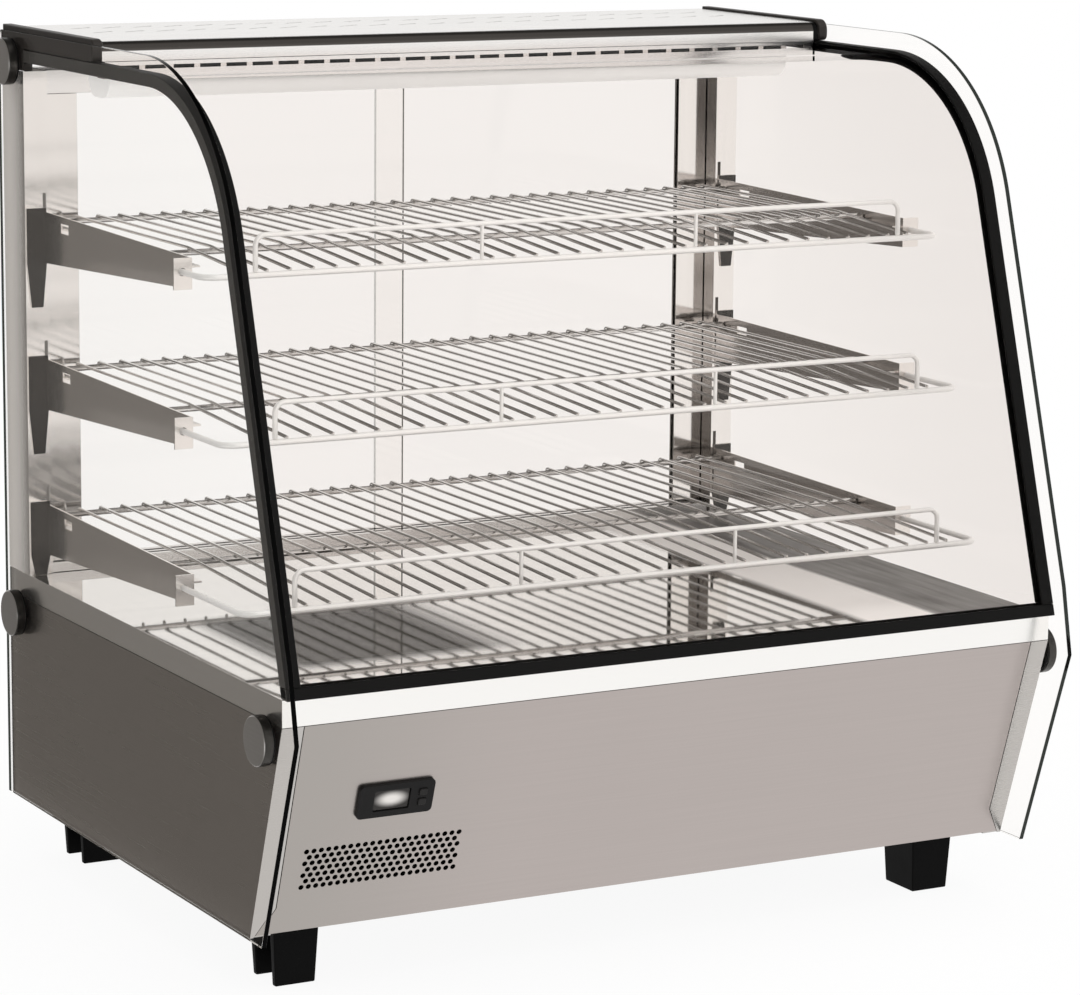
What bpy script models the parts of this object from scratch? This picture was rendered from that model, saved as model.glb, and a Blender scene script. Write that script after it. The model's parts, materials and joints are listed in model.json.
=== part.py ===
"""Countertop heated display case with curved front glass, wire racks and rear sliding doors.

Metres, +Z up, front towards -Y, origin on the counter under the middle of the case.
Outlines are (y, z) points for pieces that run across the case.
"""
import math

import bmesh
import bpy
from mathutils import Vector

# Shared fits and sheet
GAP = 0.0003
SHEET = 0.0012
OVERRUN = 0.004

# Side profile of the case, measured on the outline of the side glasses
CASE_WIDTH = 0.678
REAR_Y = 0.284
BASE_BOTTOM_Z = 0.050
GLASS_TOP_Z = 0.688
BROW_Y = -0.020
BROW_RADIUS = 0.167
FRONT_SLOPE = math.radians(17.1)
BEND_Z = 0.268
BELT_Y = -0.2835
BELT_Z = 0.2145
TOE_Y = -0.226
CORNER_RADIUS = 0.006

# Glass
SIDE_GLASS = 0.004
FRONT_GLASS = 0.005
FRONT_INSET = 0.0165
FRONT_GLASS_REAR_Y = 0.0865
FRONT_GLASS_FOOT_Z = 0.2461
FRONT_GLASS_EDGE = 0.0050

# Rubber edge of the front glass
SEAL_WIDTH = 0.0110
SEAL_LIP = 0.0026
SEAL_BASE = 0.0030
SILL_SEAL_Z = 0.2433
SILL_SEAL_HEIGHT = 0.0090

# Base
SEAM_Z = 0.2220
DECK_Z = 0.2430
BASE_FRONT_Y = -0.2570
BASE_TOE_Y = -0.1995
BASE_REAR_Y = 0.2810
BACK_Y = 0.2620
FLANGE = 0.0160
PANEL_RETURN = 0.0090
PANEL_CORNER_RISE = 0.0240
PANEL_CORNER_REACH = 0.0132

# Perforated vent in the front panel
VENT_PITCH = 0.0060
VENT_HOLE_RADIUS = 0.0021
VENT_COLUMNS = 22
VENT_ROWS = 7
VENT_INSET = 0.0179
VENT_TOP_Z = 0.1175

# Controller
BEZEL_INSET = 0.0838
BEZEL_Z = 0.1540
BEZEL_WIDTH = 0.0620
BEZEL_HEIGHT = 0.0280
BEZEL_PROUD = 0.0030
BEZEL_RADIUS = 0.0035
BEZEL_BODY_MARGIN = 0.0040
BEZEL_BODY_DEPTH = 0.0220
BEZEL_FACE = 0.0020
WINDOW_WIDTH = 0.0290
WINDOW_HEIGHT = 0.0170
WINDOW_SHIFT = -0.0035
WINDOW_DEPTH = 0.0012
WINDOW_PLATE = 0.0030
KEY_WIDTH = 0.0065
KEY_HEIGHT = 0.0055
KEY_SHIFT = 0.0215
KEY_SPREAD = 0.0085
KEY_PROUD = 0.0012
KEY_TRAVEL = 0.0008
KEY_DEPTH = 0.0060

# Feet
FOOT_INSET = 0.0487
FOOT_FRONT_Y = -0.1510
FOOT_REAR_Y = 0.2280
FOOT_WIDTH = 0.0380
FOOT_DEPTH = 0.0450
FOOT_TAPER = 0.0025
FOOT_WALL = 0.0060
FOOT_ROOF = 0.0050

# Round glass fixings
FIXING_RADIUS = 0.0190
FIXING_HEAD = 0.0095
FIXING_EDGE = 0.0015
FIXING_STEM_RADIUS = 0.0036
FIXING_STEM_REACH = 0.0050
FIXING_INSET = 0.0300
FIXING_TOP_DROP = 0.0240
FIXING_BASE_Z = 0.2090
FIXING_FRONT_Y = -0.2340

# Hood
HOOD_RISE = 0.0020
HOOD_FRONT_Y = 0.0900
HOOD_FACE = 0.0155
HOOD_NOSE_RADIUS = 0.0080
HOOD_LIP = 0.0080
CAP_THICK = 0.0085
CAP_RISE = 0.0020
CAP_HEIGHT = 0.0350
CAP_FRONT_HEIGHT = 0.0175
CAP_FRONT_Y = 0.0885
CAP_REAR_Y = 0.2835
CAP_NOSE_RADIUS = 0.0090
TOP_SLOT_ROWS = 2
TOP_SLOTS = 22
TOP_SLOT_LENGTH = 0.0200
TOP_SLOT_WIDTH = 0.0035
TOP_SLOT_LEAN = 0.0110
TOP_SLOT_INSET = 0.1000
TOP_SLOT_ROW_GAP = 0.0480

# Lamp housing, with the row of slots above the front glass
HOUSING_HEIGHT = 0.0135
HOUSING_DEPTH = 0.1400
HOUSING_FOOT = 0.0150
DASH_SLOTS = 28
DASH_LENGTH = 0.0175
DASH_HEIGHT = 0.0042
DASH_DROP = 0.0055
LAMP_INSET = 0.0460
LAMP_RADIUS = 0.0080
LAMP_END = 0.0360
LAMP_HOLDER = 0.0120
COVER_WIDTH = 0.0440
COVER_DROP = 0.0300
COVER_WALL = 0.0015
COVER_END = 0.0160

# Rear posts
POST_WIDTH = 0.0205
POST_FRONT_Y = 0.2350
SLOT_WIDTH = 0.0030
SLOT_HEIGHT = 0.0120
SLOT_PITCH = 0.0160
SLOTS_PER_BRACKET = 3

# Racks and brackets
RACK_SHARES = 3.27
TOP_RACK_SHARES = 2.485
BRACKET_SHEET = 0.0015
BRACKET_INSET = 0.0177
BRACKET_FRONT_Y = -0.0600
BRACKET_REAR_HEIGHT = 0.0420
BRACKET_FRONT_DROP = 0.0040
BRACKET_FRONT_HEIGHT = 0.0240
BRACKET_TAB = 0.0150
BRACKET_ROOT_RISE = 0.0030
BRACKET_ROOT_DROP = 0.0780
BRACKET_ROOT_TAPER = 0.0035
BRACKET_HOLE = 0.0080
BRACKET_HOLE_LENGTH = 0.0160
BRACKET_HOLE_Y = 0.1900
BRACKET_HOLE_DROP = 0.0140
TAB_HOLE_RADIUS = 0.0032
HOOK_REACH = 0.0060
HOOK_HEIGHT = 0.0070
HOOK_TURN = 0.0035
LEDGE = 0.0080
ARM_DROP = 0.0145
ROD_DROP = 0.0075
ROD_RADIUS = 0.0024
WIRE_SIDE = 0.0024
WIRE_SEAT = 0.0004
WIRE_COUNT = 32
REAR_ROD_Y = 0.2220
MID_ROD_Y = 0.0
WIRE_END_Y = 0.2275
WELD_WIRES = (0, 15, 31)
WIRE_HOOK_DROP = 0.0055
TOP_RACK_FRONT_Y = -0.1010
RACK_STEP_Y = 0.0340
ARM_INSET = 0.0097
ARM_PAST_TAB = 0.0120
ARM_BEND = 0.0120
FENCE_INSET = 0.0497
FENCE_HEIGHT = 0.0300
FENCE_BEND = 0.0080
FENCE_RADIUS = 0.0020
FENCE_POST_RADIUS = 0.0015

# Sliding doors and their tracks
DOOR_GLASS = 0.0040
DOOR_FRONT_Y = 0.2465
DOOR_STEP_Y = 0.0100
DOOR_LAP = 0.0110
DOOR_RISE = 0.0080
TRACK_FRONT_Y = 0.2380
TRACK_HEIGHT = 0.0190
TRACK_GROOVE = 0.0110
SILL_HEIGHT = 0.0085
SILL_GROOVE = 0.0045
SILL_REAR_Y = 0.2660
STILE_WIDTH = 0.0280
STILE_DEPTH = 0.0080
STILE_SCOOP = 0.0030
STILE_SCOOP_WIDTH = 0.0100
STILE_LIP = 0.0060

# Heater and fan under the deck
HEATER_Z = 0.2000
HEATER_RADIUS = 0.0040
HEATER_INSET = 0.0947
HEATER_FRONT_Y = -0.1400
HEATER_REAR_Y = 0.1600
HEATER_BEND = 0.0300
HEATER_STAND = 0.0100
FAN_INSET = 0.1547
FAN_Y = 0.2300
FAN_Z = 0.1300
FAN_SIZE = 0.0800
FAN_BORE = 0.0370
FAN_HUB = 0.0130
FAN_BLADES = 7
FAN_BLADE = 0.0015
FAN_BLADE_SHARE = 0.8
FAN_STRUT = 0.0040
FAN_SHAFT = 0.0030

# Back plate: vents, switches and cable gland
BACK_SLOTS = 9
BACK_SLOT_PITCH = 0.0100
BACK_SLOT_LENGTH = 0.0700
BACK_SLOT_WIDTH = 0.0035
SWITCH_INSET = 0.1047
SWITCH_Z = 0.1500
SWITCH_WIDTH = 0.0600
SWITCH_HEIGHT = 0.0300
SWITCH_FACE = 0.0025
SWITCH_DEPTH = 0.0180
ROCKER_WIDTH = 0.0200
ROCKER_HEIGHT = 0.0220
ROCKER_SPREAD = 0.0250
ROCKER_THICK = 0.0090
ROCKER_TILT = math.radians(8.0)
GLAND_Z = 0.0850
GLAND_RADIUS = 0.0100
GLAND_BORE = 0.0042
GLAND_PROUD = 0.0120
BOTTOM_SLOTS = 8
BOTTOM_SLOT_PITCH = 0.0120
BOTTOM_SLOT_LENGTH = 0.0900
BOTTOM_SLOT_WIDTH = 0.0040

# Widths that follow from the width over the glass
HALF_GLASS = CASE_WIDTH / 2 - SIDE_GLASS
HALF_BASE = HALF_GLASS - GAP
FRONT_GLASS_HALF = HALF_BASE - FRONT_GLASS_EDGE
PANEL_HALF = HALF_BASE - FLANGE - GAP
CAP_INNER_X = HALF_BASE - CAP_THICK
HOOD_HALF = CAP_INNER_X - GAP
HOUSING_HALF = HALF_BASE - SEAL_WIDTH - GAP
POST_INNER_X = HALF_BASE - POST_WIDTH
BRACKET_X = HALF_BASE - BRACKET_INSET
ARM_X = HALF_BASE - ARM_INSET
ROOT_X = HALF_BASE - 2 * GAP
FENCE_X = HALF_BASE - FENCE_INSET
FENCE_POST_X = FENCE_X / 3
WIRE_PITCH = 2 * FENCE_X / (WIRE_COUNT - 2)
FOOT_X = HALF_BASE - FOOT_INSET
LAMP_LENGTH = 2 * (HOOD_HALF - LAMP_END)
COVER_HALF_LENGTH = HOOD_HALF - COVER_END
DASH_PITCH = 2 * HOOD_HALF / (DASH_SLOTS + 1)
TOP_SLOT_PITCH = 2 * HOOD_HALF / (TOP_SLOTS + 2)
VENT_LEFT_X = VENT_INSET - PANEL_HALF
BEZEL_X = BEZEL_INSET - PANEL_HALF
SWITCH_X = SWITCH_INSET - HALF_BASE
GLAND_X = SWITCH_X
HEATER_HALF = HALF_BASE - HEATER_INSET
FAN_X = HALF_BASE - FAN_INSET

# Heights and depths that follow from the top, the deck and the hood
BROW_Z = GLASS_TOP_Z - BROW_RADIUS
FIXING_TOP_Z = GLASS_TOP_Z - FIXING_TOP_DROP
HOOD_TOP_Z = GLASS_TOP_Z + HOOD_RISE
HOOD_LIP_Z = HOOD_TOP_Z - HOOD_FACE
CAP_TOP_Z = HOOD_TOP_Z + CAP_RISE
CAP_BOTTOM_Z = CAP_TOP_Z - CAP_HEIGHT
HOUSING_BOTTOM_Z = HOOD_LIP_Z - HOUSING_HEIGHT
HOUSING_REAR_Y = HOOD_FRONT_Y + HOUSING_DEPTH
DASH_Z = HOOD_LIP_Z - DASH_DROP
TOP_SLOT_FRONT_Y = HOOD_FRONT_Y + TOP_SLOT_INSET
LAMP_Y = HOOD_FRONT_Y + LAMP_INSET
POST_TOP_Z = CAP_BOTTOM_Z - GAP
POST_FOOT_Z = DECK_Z + GAP
TRACK_BOTTOM_Z = CAP_BOTTOM_Z - TRACK_HEIGHT
DOOR_TOP_Z = TRACK_BOTTOM_Z + DOOR_RISE
SILL_TOP_Z = DECK_Z + SILL_HEIGHT
RACK_SPACING = (TRACK_BOTTOM_Z - DECK_Z) / RACK_SHARES
TOP_BRACKET_Z = DECK_Z + RACK_SPACING * TOP_RACK_SHARES
LEFT, RIGHT = -1, 1
SIDES = (("left", LEFT), ("right", RIGHT))

STEEL = dict(color=(0.55, 0.53, 0.51), roughness=0.32, metallic=1.0)
POLISHED = dict(color=(0.72, 0.71, 0.70), roughness=0.08, metallic=1.0)
WIRE = dict(color=(0.78, 0.77, 0.76), roughness=0.18, metallic=1.0)
BLACK = dict(color=(0.02, 0.02, 0.02), roughness=0.55, metallic=0.0)
RUBBER = dict(color=(0.025, 0.025, 0.025), roughness=0.7, metallic=0.0)
CLEAR = dict(color=(0.93, 0.96, 0.95), roughness=0.03, metallic=0.0)
WHITE = dict(color=(0.85, 0.85, 0.83), roughness=0.4, metallic=0.0)
GREY = dict(color=(0.30, 0.30, 0.30), roughness=0.4, metallic=1.0)


# Scene and mesh helpers

def clear_scene():
    for item in list(bpy.data.objects):
        bpy.data.objects.remove(item, do_unlink=True)


def finish_of(name, look):
    material = bpy.data.materials.new(name)
    material.use_nodes = True
    shader = material.node_tree.nodes["Principled BSDF"]
    shader.inputs["Base Color"].default_value = (*look["color"], 1.0)
    shader.inputs["Roughness"].default_value = look["roughness"]
    shader.inputs["Metallic"].default_value = look["metallic"]
    return material


def make_piece(name, solid, look, place=(0.0, 0.0, 0.0), smooth=False):
    """Turns a bmesh into a named object with its origin at place; the bmesh is in world space."""
    bmesh.ops.recalc_face_normals(solid, faces=solid.faces)
    bmesh.ops.translate(solid, vec=-Vector(place), verts=solid.verts)
    mesh = bpy.data.meshes.new(name)
    solid.to_mesh(mesh)
    solid.free()
    if smooth:
        mesh.shade_smooth()
        mesh.set_sharp_from_angle(angle=math.radians(35))
    piece = bpy.data.objects.new(name, mesh)
    piece.location = place
    if look is not None:
        mesh.materials.append(finish_of(name, look))
    bpy.context.scene.collection.objects.link(piece)
    return piece


def combine(piece, tool, operation):
    """Joins or cuts piece by a tool solid, which stays in the file as a hidden wire guide."""
    guide = make_piece(piece.name + "_" + operation.lower(), tool, None)
    guide.hide_render = True
    guide.display_type = "WIRE"
    step = piece.modifiers.new(operation.title(), "BOOLEAN")
    step.object = guide
    step.operation = operation
    step.solver = "EXACT"


def point_on(axis, along, u, v):
    """A point from its place along an axis and its two other coordinates, in X, Y, Z order."""
    others = [u, v]
    return Vector([along if axis == place else others.pop(0) for place in range(3)])


def extrude(solid, outline, axis, start, end):
    """A prism: an outline in the plane square to an axis, run from start to end along it."""
    rings = []
    for along in (start, end):
        rings.append([solid.verts.new(point_on(axis, along, u, v)) for u, v in outline])
    count = len(outline)
    for i in range(count):
        j = (i + 1) % count
        solid.faces.new((rings[0][i], rings[0][j], rings[1][j], rings[1][i]))
    solid.faces.new(rings[0])
    solid.faces.new(rings[1])


def box(solid, low, high):
    outline = [(low[1], low[2]), (high[1], low[2]), (high[1], high[2]), (low[1], high[2])]
    extrude(solid, outline, 0, low[0], high[0])


def arc(centre, radius, start, end, steps):
    """Points on a circle from a start angle to an end angle, both ends included."""
    turns = [start + (end - start) * i / steps for i in range(steps + 1)]
    return [(centre[0] + radius * math.cos(t), centre[1] + radius * math.sin(t)) for t in turns]


def ring(centre, radius, sides, turn=0.0):
    step = 2 * math.pi / sides
    return [
        (centre[0] + radius * math.cos(turn + step * i), centre[1] + radius * math.sin(turn + step * i))
        for i in range(sides)
    ]


def turned(solid, profile, axis, centre, sides):
    """A turned piece: (along, radius) points, from one end to the other, spun round an axis."""
    rings = []
    for along, radius in profile:
        rings.append(
            [solid.verts.new(point_on(axis, along, u, v)) for u, v in ring(centre, radius, sides)]
        )
    for low, high in zip(rings, rings[1:]):
        for i in range(sides):
            j = (i + 1) % sides
            solid.faces.new((low[i], low[j], high[j], high[i]))
    solid.faces.new(rings[0])
    solid.faces.new(rings[-1])


def rounded(width, height, radius, steps=3):
    """A rectangle with round corners, centred on zero."""
    a, b = width / 2 - radius, height / 2 - radius
    corners = ((a, b, 0), (-a, b, 1), (-a, -b, 2), (a, -b, 3))
    points = []
    for u, v, quarter in corners:
        points += arc((u, v), radius, quarter * math.pi / 2, (quarter + 1) * math.pi / 2, steps)
    return points


def fillet_path(points, radius, steps):
    """A 3-D path whose inner corners are replaced by arcs of one bend radius."""
    path = [Vector(points[0])]
    for before, corner, after in zip(points, points[1:], points[2:]):
        corner = Vector(corner)
        back = (Vector(before) - corner).normalized()
        ahead = (Vector(after) - corner).normalized()
        half = back.angle(ahead) / 2
        reach = radius / math.tan(half)
        centre = corner + (back + ahead).normalized() * (radius / math.sin(half))
        first, last = corner + back * reach - centre, corner + ahead * reach - centre
        sweep = first.angle(last)
        for i in range(steps + 1):
            share = i / steps
            arm = first * math.sin((1 - share) * sweep) + last * math.sin(share * sweep)
            path.append(centre + arm / math.sin(sweep))
    path.append(Vector(points[-1]))
    return path


def rod(solid, path, radius, sides, turn=0.0):
    """A round rod along a path that lies in one plane, with flat ends."""
    path = [Vector(p) for p in path]
    runs = [(b - a).normalized() for a, b in zip(path, path[1:])]
    side = Vector((0.0, 0.0, 1.0))
    for a, b in zip(runs, runs[1:]):
        if a.cross(b).length > math.sin(FRONT_SLOPE) / 4:
            side = a.cross(b).normalized()
            break
    else:
        if abs(runs[0].z) > abs(runs[0].y) and abs(runs[0].z) > abs(runs[0].x):
            side = Vector((0.0, 1.0, 0.0))
    rings = []
    for i, point in enumerate(path):
        before, after = runs[max(i - 1, 0)], runs[min(i, len(runs) - 1)]
        along = (before + after).normalized()
        across = along.cross(side).normalized()
        stretch = 1 / max(along.dot(after), math.cos(math.pi / 3))
        rings.append(
            [
                solid.verts.new(point + across * (u * stretch) + side * v)
                for u, v in ring((0.0, 0.0), radius, sides, turn)
            ]
        )
    for low, high in zip(rings, rings[1:]):
        for i in range(sides):
            j = (i + 1) % sides
            solid.faces.new((low[i], low[j], high[j], high[i]))
    solid.faces.new(rings[0])
    solid.faces.new(rings[-1])


# Shapes that several pieces share

def brow(inset, steps=12):
    """The curve from the flat top to the front slope, moved in from the side glass outline."""
    return arc(
        (BROW_Y, BROW_Z), BROW_RADIUS - inset, math.pi / 2, math.pi - FRONT_SLOPE, steps
    )


def slope_point(inset, z):
    """A point of the front slope, moved in from the side glass outline, at a height."""
    y, start = brow(inset)[-1]
    return (y - (start - z) * math.tan(FRONT_SLOPE), z)


def panel_y(z):
    """The outer face of the base's leaning front at a height."""
    share = (SEAM_Z - z) / (SEAM_Z - BASE_BOTTOM_Z)
    return BASE_FRONT_Y + (BASE_TOE_Y - BASE_FRONT_Y) * share


PANEL_LEAN = math.atan2(BASE_TOE_Y - BASE_FRONT_Y, SEAM_Z - BASE_BOTTOM_Z)


def on_panel(u, v, x, z, out):
    """A world point: u across and v up the leaning panel from (x, z), out along its normal."""
    height = z + v * math.cos(PANEL_LEAN) - out * math.sin(PANEL_LEAN)
    depth = panel_y(z) - v * math.sin(PANEL_LEAN) - out * math.cos(PANEL_LEAN)
    return Vector((x + u, depth, height))


def panel_prism(solid, outline, x, z, inner, outer):
    """A prism square to the leaning panel, from inner to outer along its normal."""
    rings = [
        [solid.verts.new(on_panel(u, v, x, z, out)) for u, v in outline] for out in (inner, outer)
    ]
    count = len(outline)
    for i in range(count):
        j = (i + 1) % count
        solid.faces.new((rings[0][i], rings[0][j], rings[1][j], rings[1][i]))
    solid.faces.new(rings[0])
    solid.faces.new(rings[1])


def fixing_places():
    """The (y, z) centres of the three round fixings of one side glass."""
    rear_y = REAR_Y - FIXING_INSET
    return {
        "top": (rear_y, FIXING_TOP_Z),
        "rear": (rear_y, FIXING_BASE_Z),
        "front": (FIXING_FRONT_Y, FIXING_BASE_Z),
    }


def stem_hole(solid, side, place):
    radius = FIXING_STEM_RADIUS + GAP
    reach = FIXING_STEM_REACH + OVERRUN
    start, end = side * (HALF_GLASS - reach), side * (CASE_WIDTH / 2 + OVERRUN)
    extrude(solid, ring(place, radius, 12), 0, start, end)


# Base

def base_outline(top, sheet=0.0):
    """The side of the base; sheet moves the front and the floor in by one sheet."""
    floor = BASE_BOTTOM_Z + sheet
    inward = sheet / math.cos(PANEL_LEAN)
    return [
        (panel_y(top) + inward, top),
        (panel_y(floor) + inward, floor),
        (BASE_REAR_Y, floor),
        (BASE_REAR_Y, top),
    ]


def corner_cut(solid, side, gap):
    """The slanted lower corner where the front panel widens over the flange."""
    inner, outer = PANEL_HALF - gap, PANEL_HALF + PANEL_CORNER_REACH - gap
    length = (SEAM_Z - BASE_BOTTOM_Z) / math.cos(PANEL_LEAN)
    outline = [
        (side * inner, -length + PANEL_CORNER_RISE),
        (side * outer, -length),
        (side * outer, -length - OVERRUN),
        (side * inner, -length - OVERRUN),
    ]
    panel_prism(solid, outline, 0.0, SEAM_Z, -SHEET - GAP, OVERRUN)


def base_side(name, side):
    shell = bmesh.new()
    inner = HALF_BASE - FLANGE
    extrude(shell, base_outline(SEAM_Z - GAP), 0, side * inner, side * HALF_BASE)
    piece = make_piece("base_side_" + name, shell, STEEL)
    pocket = bmesh.new()
    outline = base_outline(SEAM_Z, SHEET)
    outline[2] = (BASE_REAR_Y + OVERRUN, outline[2][1])
    outline[3] = (BASE_REAR_Y + OVERRUN, SEAM_Z + OVERRUN)
    outline[0] = (panel_y(SEAM_Z + OVERRUN) + SHEET / math.cos(PANEL_LEAN), SEAM_Z + OVERRUN)
    extrude(pocket, outline, 0, side * (inner - OVERRUN), side * (HALF_BASE - SHEET))
    combine(piece, pocket, "DIFFERENCE")
    holes = bmesh.new()
    corner_cut(holes, side, -GAP)
    for key in ("rear", "front"):
        stem_hole(holes, side, fixing_places()[key])
    combine(piece, holes, "DIFFERENCE")


def front_panel():
    """A folded sheet with returns at top and bottom, perforated in a staggered pattern."""
    top, foot = SEAM_Z - GAP, BASE_BOTTOM_Z + SHEET + GAP
    inward = SHEET / math.cos(PANEL_LEAN)
    outline = [
        (panel_y(top), top),
        (panel_y(foot), foot),
        (panel_y(foot) + PANEL_RETURN, foot),
        (panel_y(foot) + PANEL_RETURN, foot + SHEET),
        (panel_y(foot + SHEET) + inward, foot + SHEET),
        (panel_y(top - SHEET) + inward, top - SHEET),
        (panel_y(top) + PANEL_RETURN, top - SHEET),
        (panel_y(top) + PANEL_RETURN, top),
    ]
    sheet = bmesh.new()
    reach = PANEL_HALF + PANEL_CORNER_REACH - GAP
    extrude(sheet, outline, 0, -reach, reach)
    piece = make_piece("front_panel", sheet, STEEL)
    ends = bmesh.new()
    length = (SEAM_Z - BASE_BOTTOM_Z) / math.cos(PANEL_LEAN)
    for name, side in SIDES:
        trim = [
            (side * (PANEL_HALF - GAP), OVERRUN),
            (side * (PANEL_HALF - GAP), -length + PANEL_CORNER_RISE),
            (side * (reach + GAP), -length),
            (side * (reach + OVERRUN), -length),
            (side * (reach + OVERRUN), OVERRUN),
        ]
        panel_prism(ends, trim, 0.0, SEAM_Z, -SHEET - PANEL_RETURN - OVERRUN, OVERRUN)
    combine(piece, ends, "DIFFERENCE")
    holes = bmesh.new()
    row_pitch = VENT_PITCH * math.sin(math.pi / 3)
    for row in range(VENT_ROWS):
        odd = row % 2
        for column in range(VENT_COLUMNS - odd):
            u = column * VENT_PITCH + odd * VENT_PITCH / 2
            outline = ring((u, -row * row_pitch), VENT_HOLE_RADIUS, 6, math.pi / 6)
            panel_prism(holes, outline, VENT_LEFT_X, VENT_TOP_Z, -SHEET - OVERRUN, OVERRUN)
    width = BEZEL_WIDTH - 2 * BEZEL_BODY_MARGIN + 2 * GAP
    height = BEZEL_HEIGHT - 2 * BEZEL_BODY_MARGIN + 2 * GAP
    cut = rounded(width, height, BEZEL_RADIUS)
    panel_prism(holes, cut, BEZEL_X, BEZEL_Z, -SHEET - OVERRUN, OVERRUN)
    combine(piece, holes, "DIFFERENCE")


def base_bottom():
    plate = bmesh.new()
    half = HALF_BASE - SHEET - GAP
    floor = BASE_BOTTOM_Z + SHEET + GAP
    front = panel_y(floor) + PANEL_RETURN + GAP
    low = (-half, front, floor)
    box(plate, low, (half, BACK_Y - SHEET - GAP, floor + SHEET))
    piece = make_piece("base_bottom", plate, GREY)
    holes = bmesh.new()
    first = FAN_X - BOTTOM_SLOT_LENGTH / 2
    for i in range(BOTTOM_SLOTS):
        y = FAN_Y - FAN_SIZE - i * BOTTOM_SLOT_PITCH
        low = (first, y - BOTTOM_SLOT_WIDTH / 2, floor - OVERRUN)
        box(holes, low, (first + BOTTOM_SLOT_LENGTH, y + BOTTOM_SLOT_WIDTH / 2, floor + OVERRUN))
    combine(piece, holes, "DIFFERENCE")


def base_back():
    plate = bmesh.new()
    half = HALF_BASE - SHEET - GAP
    floor = BASE_BOTTOM_Z + SHEET + GAP
    top = DECK_Z - SHEET - GAP
    box(plate, (-half, BACK_Y - SHEET, floor), (half, BACK_Y, top))
    piece = make_piece("base_back", plate, STEEL)
    holes = bmesh.new()
    near, far = BACK_Y - SHEET - OVERRUN, BACK_Y + OVERRUN
    middle = (BACK_SLOTS - 1) / 2
    for i in range(BACK_SLOTS):
        z = FAN_Z + (i - middle) * BACK_SLOT_PITCH
        low = (FAN_X - BACK_SLOT_LENGTH / 2, near, z - BACK_SLOT_WIDTH / 2)
        box(holes, low, (FAN_X + BACK_SLOT_LENGTH / 2, far, z + BACK_SLOT_WIDTH / 2))
    width = SWITCH_WIDTH - 2 * BEZEL_BODY_MARGIN + 2 * GAP
    height = SWITCH_HEIGHT - 2 * BEZEL_BODY_MARGIN + 2 * GAP
    low = (SWITCH_X - width / 2, near, SWITCH_Z - height / 2)
    box(holes, low, (SWITCH_X + width / 2, far, SWITCH_Z + height / 2))
    extrude(holes, ring((GLAND_X, GLAND_Z), GLAND_BORE + SHEET + GAP, 16), 1, near, far)
    combine(piece, holes, "DIFFERENCE")


def deck_tray():
    """The polished floor of the chamber: a pan turned upside down over the base."""
    outer = bmesh.new()
    box(outer, (-HALF_BASE, BASE_FRONT_Y, SEAM_Z), (HALF_BASE, BASE_REAR_Y, DECK_Z))
    piece = make_piece("deck_tray", outer, POLISHED)
    inside = bmesh.new()
    low = (-HALF_BASE + SHEET, BASE_FRONT_Y + SHEET, SEAM_Z - OVERRUN)
    box(inside, low, (HALF_BASE - SHEET, BASE_REAR_Y - SHEET, DECK_Z - SHEET))
    combine(piece, inside, "DIFFERENCE")


def foot(name, x_side, y):
    """A tapered block with a recess in its outer side, closed above."""
    block = bmesh.new()
    top = BASE_BOTTOM_Z + SHEET
    corners = ((-1, -1), (1, -1), (1, 1), (-1, 1))
    rings = []
    for z, taper in ((0.0, FOOT_TAPER), (top, 0.0)):
        half_x, half_y = FOOT_WIDTH / 2 - taper, FOOT_DEPTH / 2 - taper
        rings.append(
            [
                block.verts.new((x_side * FOOT_X + i * half_x, y + j * half_y, z))
                for i, j in corners
            ]
        )
    for i in range(4):
        j = (i + 1) % 4
        block.faces.new((rings[0][i], rings[0][j], rings[1][j], rings[1][i]))
    block.faces.new(rings[0])
    block.faces.new(rings[1])
    piece = make_piece("foot_" + name, block, BLACK)
    recess = bmesh.new()
    inner = x_side * (FOOT_X - FOOT_WIDTH / 2 + FOOT_TAPER + FOOT_WALL)
    outer = x_side * (FOOT_X + FOOT_WIDTH / 2 + OVERRUN)
    half = FOOT_DEPTH / 2 - FOOT_TAPER - FOOT_WALL
    low = (min(inner, outer), y - half, -OVERRUN)
    box(recess, low, (max(inner, outer), y + half, top - FOOT_ROOF))
    combine(piece, recess, "DIFFERENCE")


# Glass and its rubber

def side_glass(name, side):
    top_corner = arc(
        (REAR_Y - CORNER_RADIUS, GLASS_TOP_Z - CORNER_RADIUS), CORNER_RADIUS, 0.0, math.pi / 2, 3
    )
    outline = [(REAR_Y, BASE_BOTTOM_Z)] + top_corner + brow(0.0, 16)
    outline += [slope_point(0.0, BEND_Z), (BELT_Y, BELT_Z), (TOE_Y, BASE_BOTTOM_Z)]
    pane = bmesh.new()
    extrude(pane, outline, 0, side * HALF_GLASS, side * CASE_WIDTH / 2)
    piece = make_piece("side_glass_" + name, pane, CLEAR)
    holes = bmesh.new()
    for place in fixing_places().values():
        stem_hole(holes, side, place)
    combine(piece, holes, "DIFFERENCE")


def glass_path(inset, foot_z, rear_y=FRONT_GLASS_REAR_Y, steps=12):
    """The front glass seen from the side, from its rear edge over the brow and down."""
    start = (rear_y, GLASS_TOP_Z - inset)
    return [start] + brow(inset, steps) + [slope_point(inset, foot_z)]


def front_glass():
    outer = glass_path(FRONT_INSET, FRONT_GLASS_FOOT_Z)
    inner = glass_path(FRONT_INSET + FRONT_GLASS, FRONT_GLASS_FOOT_Z)
    pane = bmesh.new()
    extrude(pane, outer + inner[::-1], 0, -FRONT_GLASS_HALF, FRONT_GLASS_HALF)
    make_piece("front_glass", pane, CLEAR)


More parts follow.
